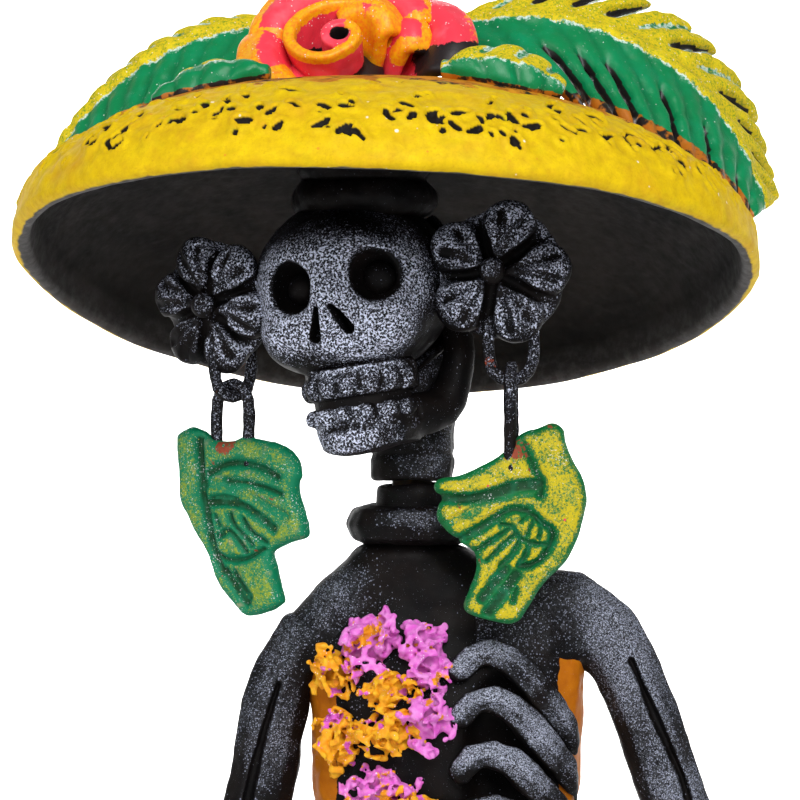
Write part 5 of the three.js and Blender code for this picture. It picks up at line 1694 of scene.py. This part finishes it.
def make_skirt():
    """The hollow skirt: twelve flutes that fade out towards the waist, with finer folds over them."""
    sides = 360
    wall = 4.5
    waist_z = 197
    top_z, roof_z = 197.4, 185
    knots = [(62, 0), (56, 14), (45, 38), (36, 70), (31, 110), (28.5, 148), (25, 176), (17.5, waist_z)]
    outer = curve(knots, 150)
    inner = outer[outer[:, 1] < 176] - np.array([wall, 0])
    foot = [(61.2, 0.0), (58.2, 0.0)]
    top, roof = [(0.05, top_z), (10, top_z)], [(12, roof_z), (0.05, roof_z)]
    path = np.vstack([top, outer[::-1], foot, inner[2:], roof])
    way = way_along(path)
    hem = 10 + way_along(outer)[-1]
    rows = np.concatenate([np.linspace(0, hem, 210), np.linspace(hem + 0.5, way[-1], 60)])
    r, z = (np.interp(rows, way, path[:, k])[:, None] for k in range(2))
    angle = np.linspace(0, 2 * math.pi, sides, endpoint=False)[None, :]
    fade = np.clip(1 - z / waist_z, 0, 1) ** 1.5
    pleat = 2.6 * fade * np.cos(12 * angle)
    minor = 0.45 * fade * np.cos(36 * angle + 0.6)
    radius = np.maximum(r + np.where(r > 2, pleat + np.where(z > 1, minor, 0), 0), 0.03)
    plain = np.stack([radius * np.cos(angle), radius * np.sin(angle), z + 0 * angle], 2).reshape(-1, 3)
    shift = 0.5 * patches(plain, 16) + 0.22 * lumps(plain, 5) + 0.08 * lumps(plain, 1.7)
    shift *= ramp(plain[:, 2], 0.2, 3.0)
    worked = plain.copy()
    worked[:, :2] *= (1 + shift / np.maximum(np.hypot(plain[:, 0], plain[:, 1]), 6))[:, None]
    ridge = (pleat + minor).reshape(-1) / 3.2 + 0.2 * lumps(worked, 9)
    points, triangles, quads = lathe_faces(worked, len(rows), sides)
    points = moved(SHIFT @ Matrix.Translation((SKIRT_X, 0, 0)), points)
    triangles, quads = turned_out(points, triangles, quads, 0)
    write_piece("skirt_clay", points, triangles, quads, "figure", ["skirt"], SKIRT_PAINT,
                {"ridge": np.concatenate([ridge, [0, 0]]), "spray": np.zeros(len(points))})

    ruffle = Clay.of_node("hem_ruffle", 0.7)
    ruffle.soften(1.4)
    finish(ruffle, "hem_ruffle_clay", "figure", ["hem_ruffle"], RUFFLE_PAINT, None,
           rough=((5, 0.5), (2, 0.15)), ridge_radius=2.2)
    sash = Clay.of_node("waist_sash", 0.4)
    sash.soften(0.8)
    finish(sash, "sash_coil", "figure", ["waist_sash"], BLACK_CLAY, None,
           rough=((5, 0.4), (1.8, 0.12)), mark=no_chip, spray=0.7)
    for number, angle, size, orange in ((1, -38, 9, False), (2, 0, 10, True), (3, 38, 9, False)):
        node = "skirt_flower_%d" % number
        clay = flower(size, 6.0, 5, 54, (-0.3, 0.3))
        clay.add(ellipsoid((0, -2.4, 0), (2.2, 1.6, 2.2)))
        outward = Vector((math.sin(math.radians(angle)), -math.cos(math.radians(angle)), 0))
        matrix = place(centre_of(node) - outward * 0.6, ("Z", angle))
        finish(clay, node + "_petals", "figure", [node],
               ORANGE_MOSS if orange else MAGENTA_MOSS, matrix, rough=((3, 0.25), (1.2, 0.08)))


# ---------------------------------------------------------------- scene


def make_floor():
    """A sheet of pale paper that curves up behind the figure."""
    size = 3.0
    bend_y, bend_radius = 1.2, 0.9
    mesh = bpy.data.meshes.new("floor")
    profile = [(-size, 0.0), (bend_y, 0.0)]
    for t in np.linspace(0, math.pi / 2, 16):
        profile.append((bend_y + bend_radius * math.sin(t), bend_radius - bend_radius * math.cos(t)))
    profile.append((bend_y + bend_radius, 3.2))
    points = [(x, y, z) for y, z in profile for x in (-size, size)]
    faces = [(2 * i, 2 * i + 1, 2 * i + 3, 2 * i + 2) for i in range(len(profile) - 1)]
    mesh.from_pydata(points, [], faces)
    mesh.polygons.foreach_set("use_smooth", [True] * len(faces))
    floor = bpy.data.objects.new("floor", mesh)
    bpy.context.scene.collection.objects.link(floor)
    material = bpy.data.materials.new("studio_paper")
    material.use_nodes = True
    shader = material.node_tree.nodes["Principled BSDF"]
    shader.inputs["Base Color"].default_value = (0.93, 0.93, 0.93, 1)
    shader.inputs["Roughness"].default_value = 0.9
    mesh.materials.append(material)


def make_lights():
    world = bpy.data.worlds.new("studio")
    bpy.context.scene.world = world
    world.use_nodes = True
    background = world.node_tree.nodes["Background"]
    background.inputs[0].default_value = (1.0, 1.0, 1.0, 1)
    background.inputs[1].default_value = 0.22

    def lamp(name, at, target, size, power, spread=180):
        light = bpy.data.lights.new(name, "AREA")
        light.size = size
        light.spread = math.radians(spread)
        light.energy = power
        thing = bpy.data.objects.new(name, light)
        thing.location = at
        thing.rotation_euler = (Vector(target) - Vector(at)).to_track_quat("-Z", "Y").to_euler()
        bpy.context.scene.collection.objects.link(thing)

    middle = (0, 0, 0.30)
    lamp("key", (0.22, -1.10, 1.02), middle, 0.8, 17.5)
    lamp("fill", (-1.0, -0.80, 0.70), middle, 0.7, 4.5)
    lamp("backdrop_left", (-1.2, 0.9, 1.4), (0, 2.0, 0.6), 1.2, 40, 115)
    lamp("backdrop_right", (1.2, 0.9, 1.4), (0, 2.0, 0.6), 1.2, 40, 115)


def make_camera():
    """Level with the chin, straight in front."""
    camera = bpy.data.cameras.new("camera")
    camera.sensor_width = 36.0
    camera.lens = 145.5
    camera.clip_start = 0.01
    camera.clip_end = 20
    eye = bpy.data.objects.new("camera", camera)
    eye.location = (SHIFT @ Vector((0.8, -700, 313))) * MM
    eye.rotation_euler = (math.pi / 2, 0, 0)
    bpy.context.scene.collection.objects.link(eye)
    bpy.context.scene.camera = eye
    bpy.context.scene.view_settings.view_transform = "Standard"


make_floor()
make_lights()
make_camera()
make_skull()
make_jaw()
make_eyes()
make_hair()
make_ear_flowers()
make_rings()
make_bird("left", BIRD_OUTLINE, BIRD_CUTS, bird_look("bird_paint_warm", True))
make_bird("right", OTHER_OUTLINE, OTHER_CUTS, bird_look("bird_paint_cool", False))
make_hat()
make_rose()
make_leaves()
make_torso()
make_limbs()
make_neck()
make_moss()
make_skirt()
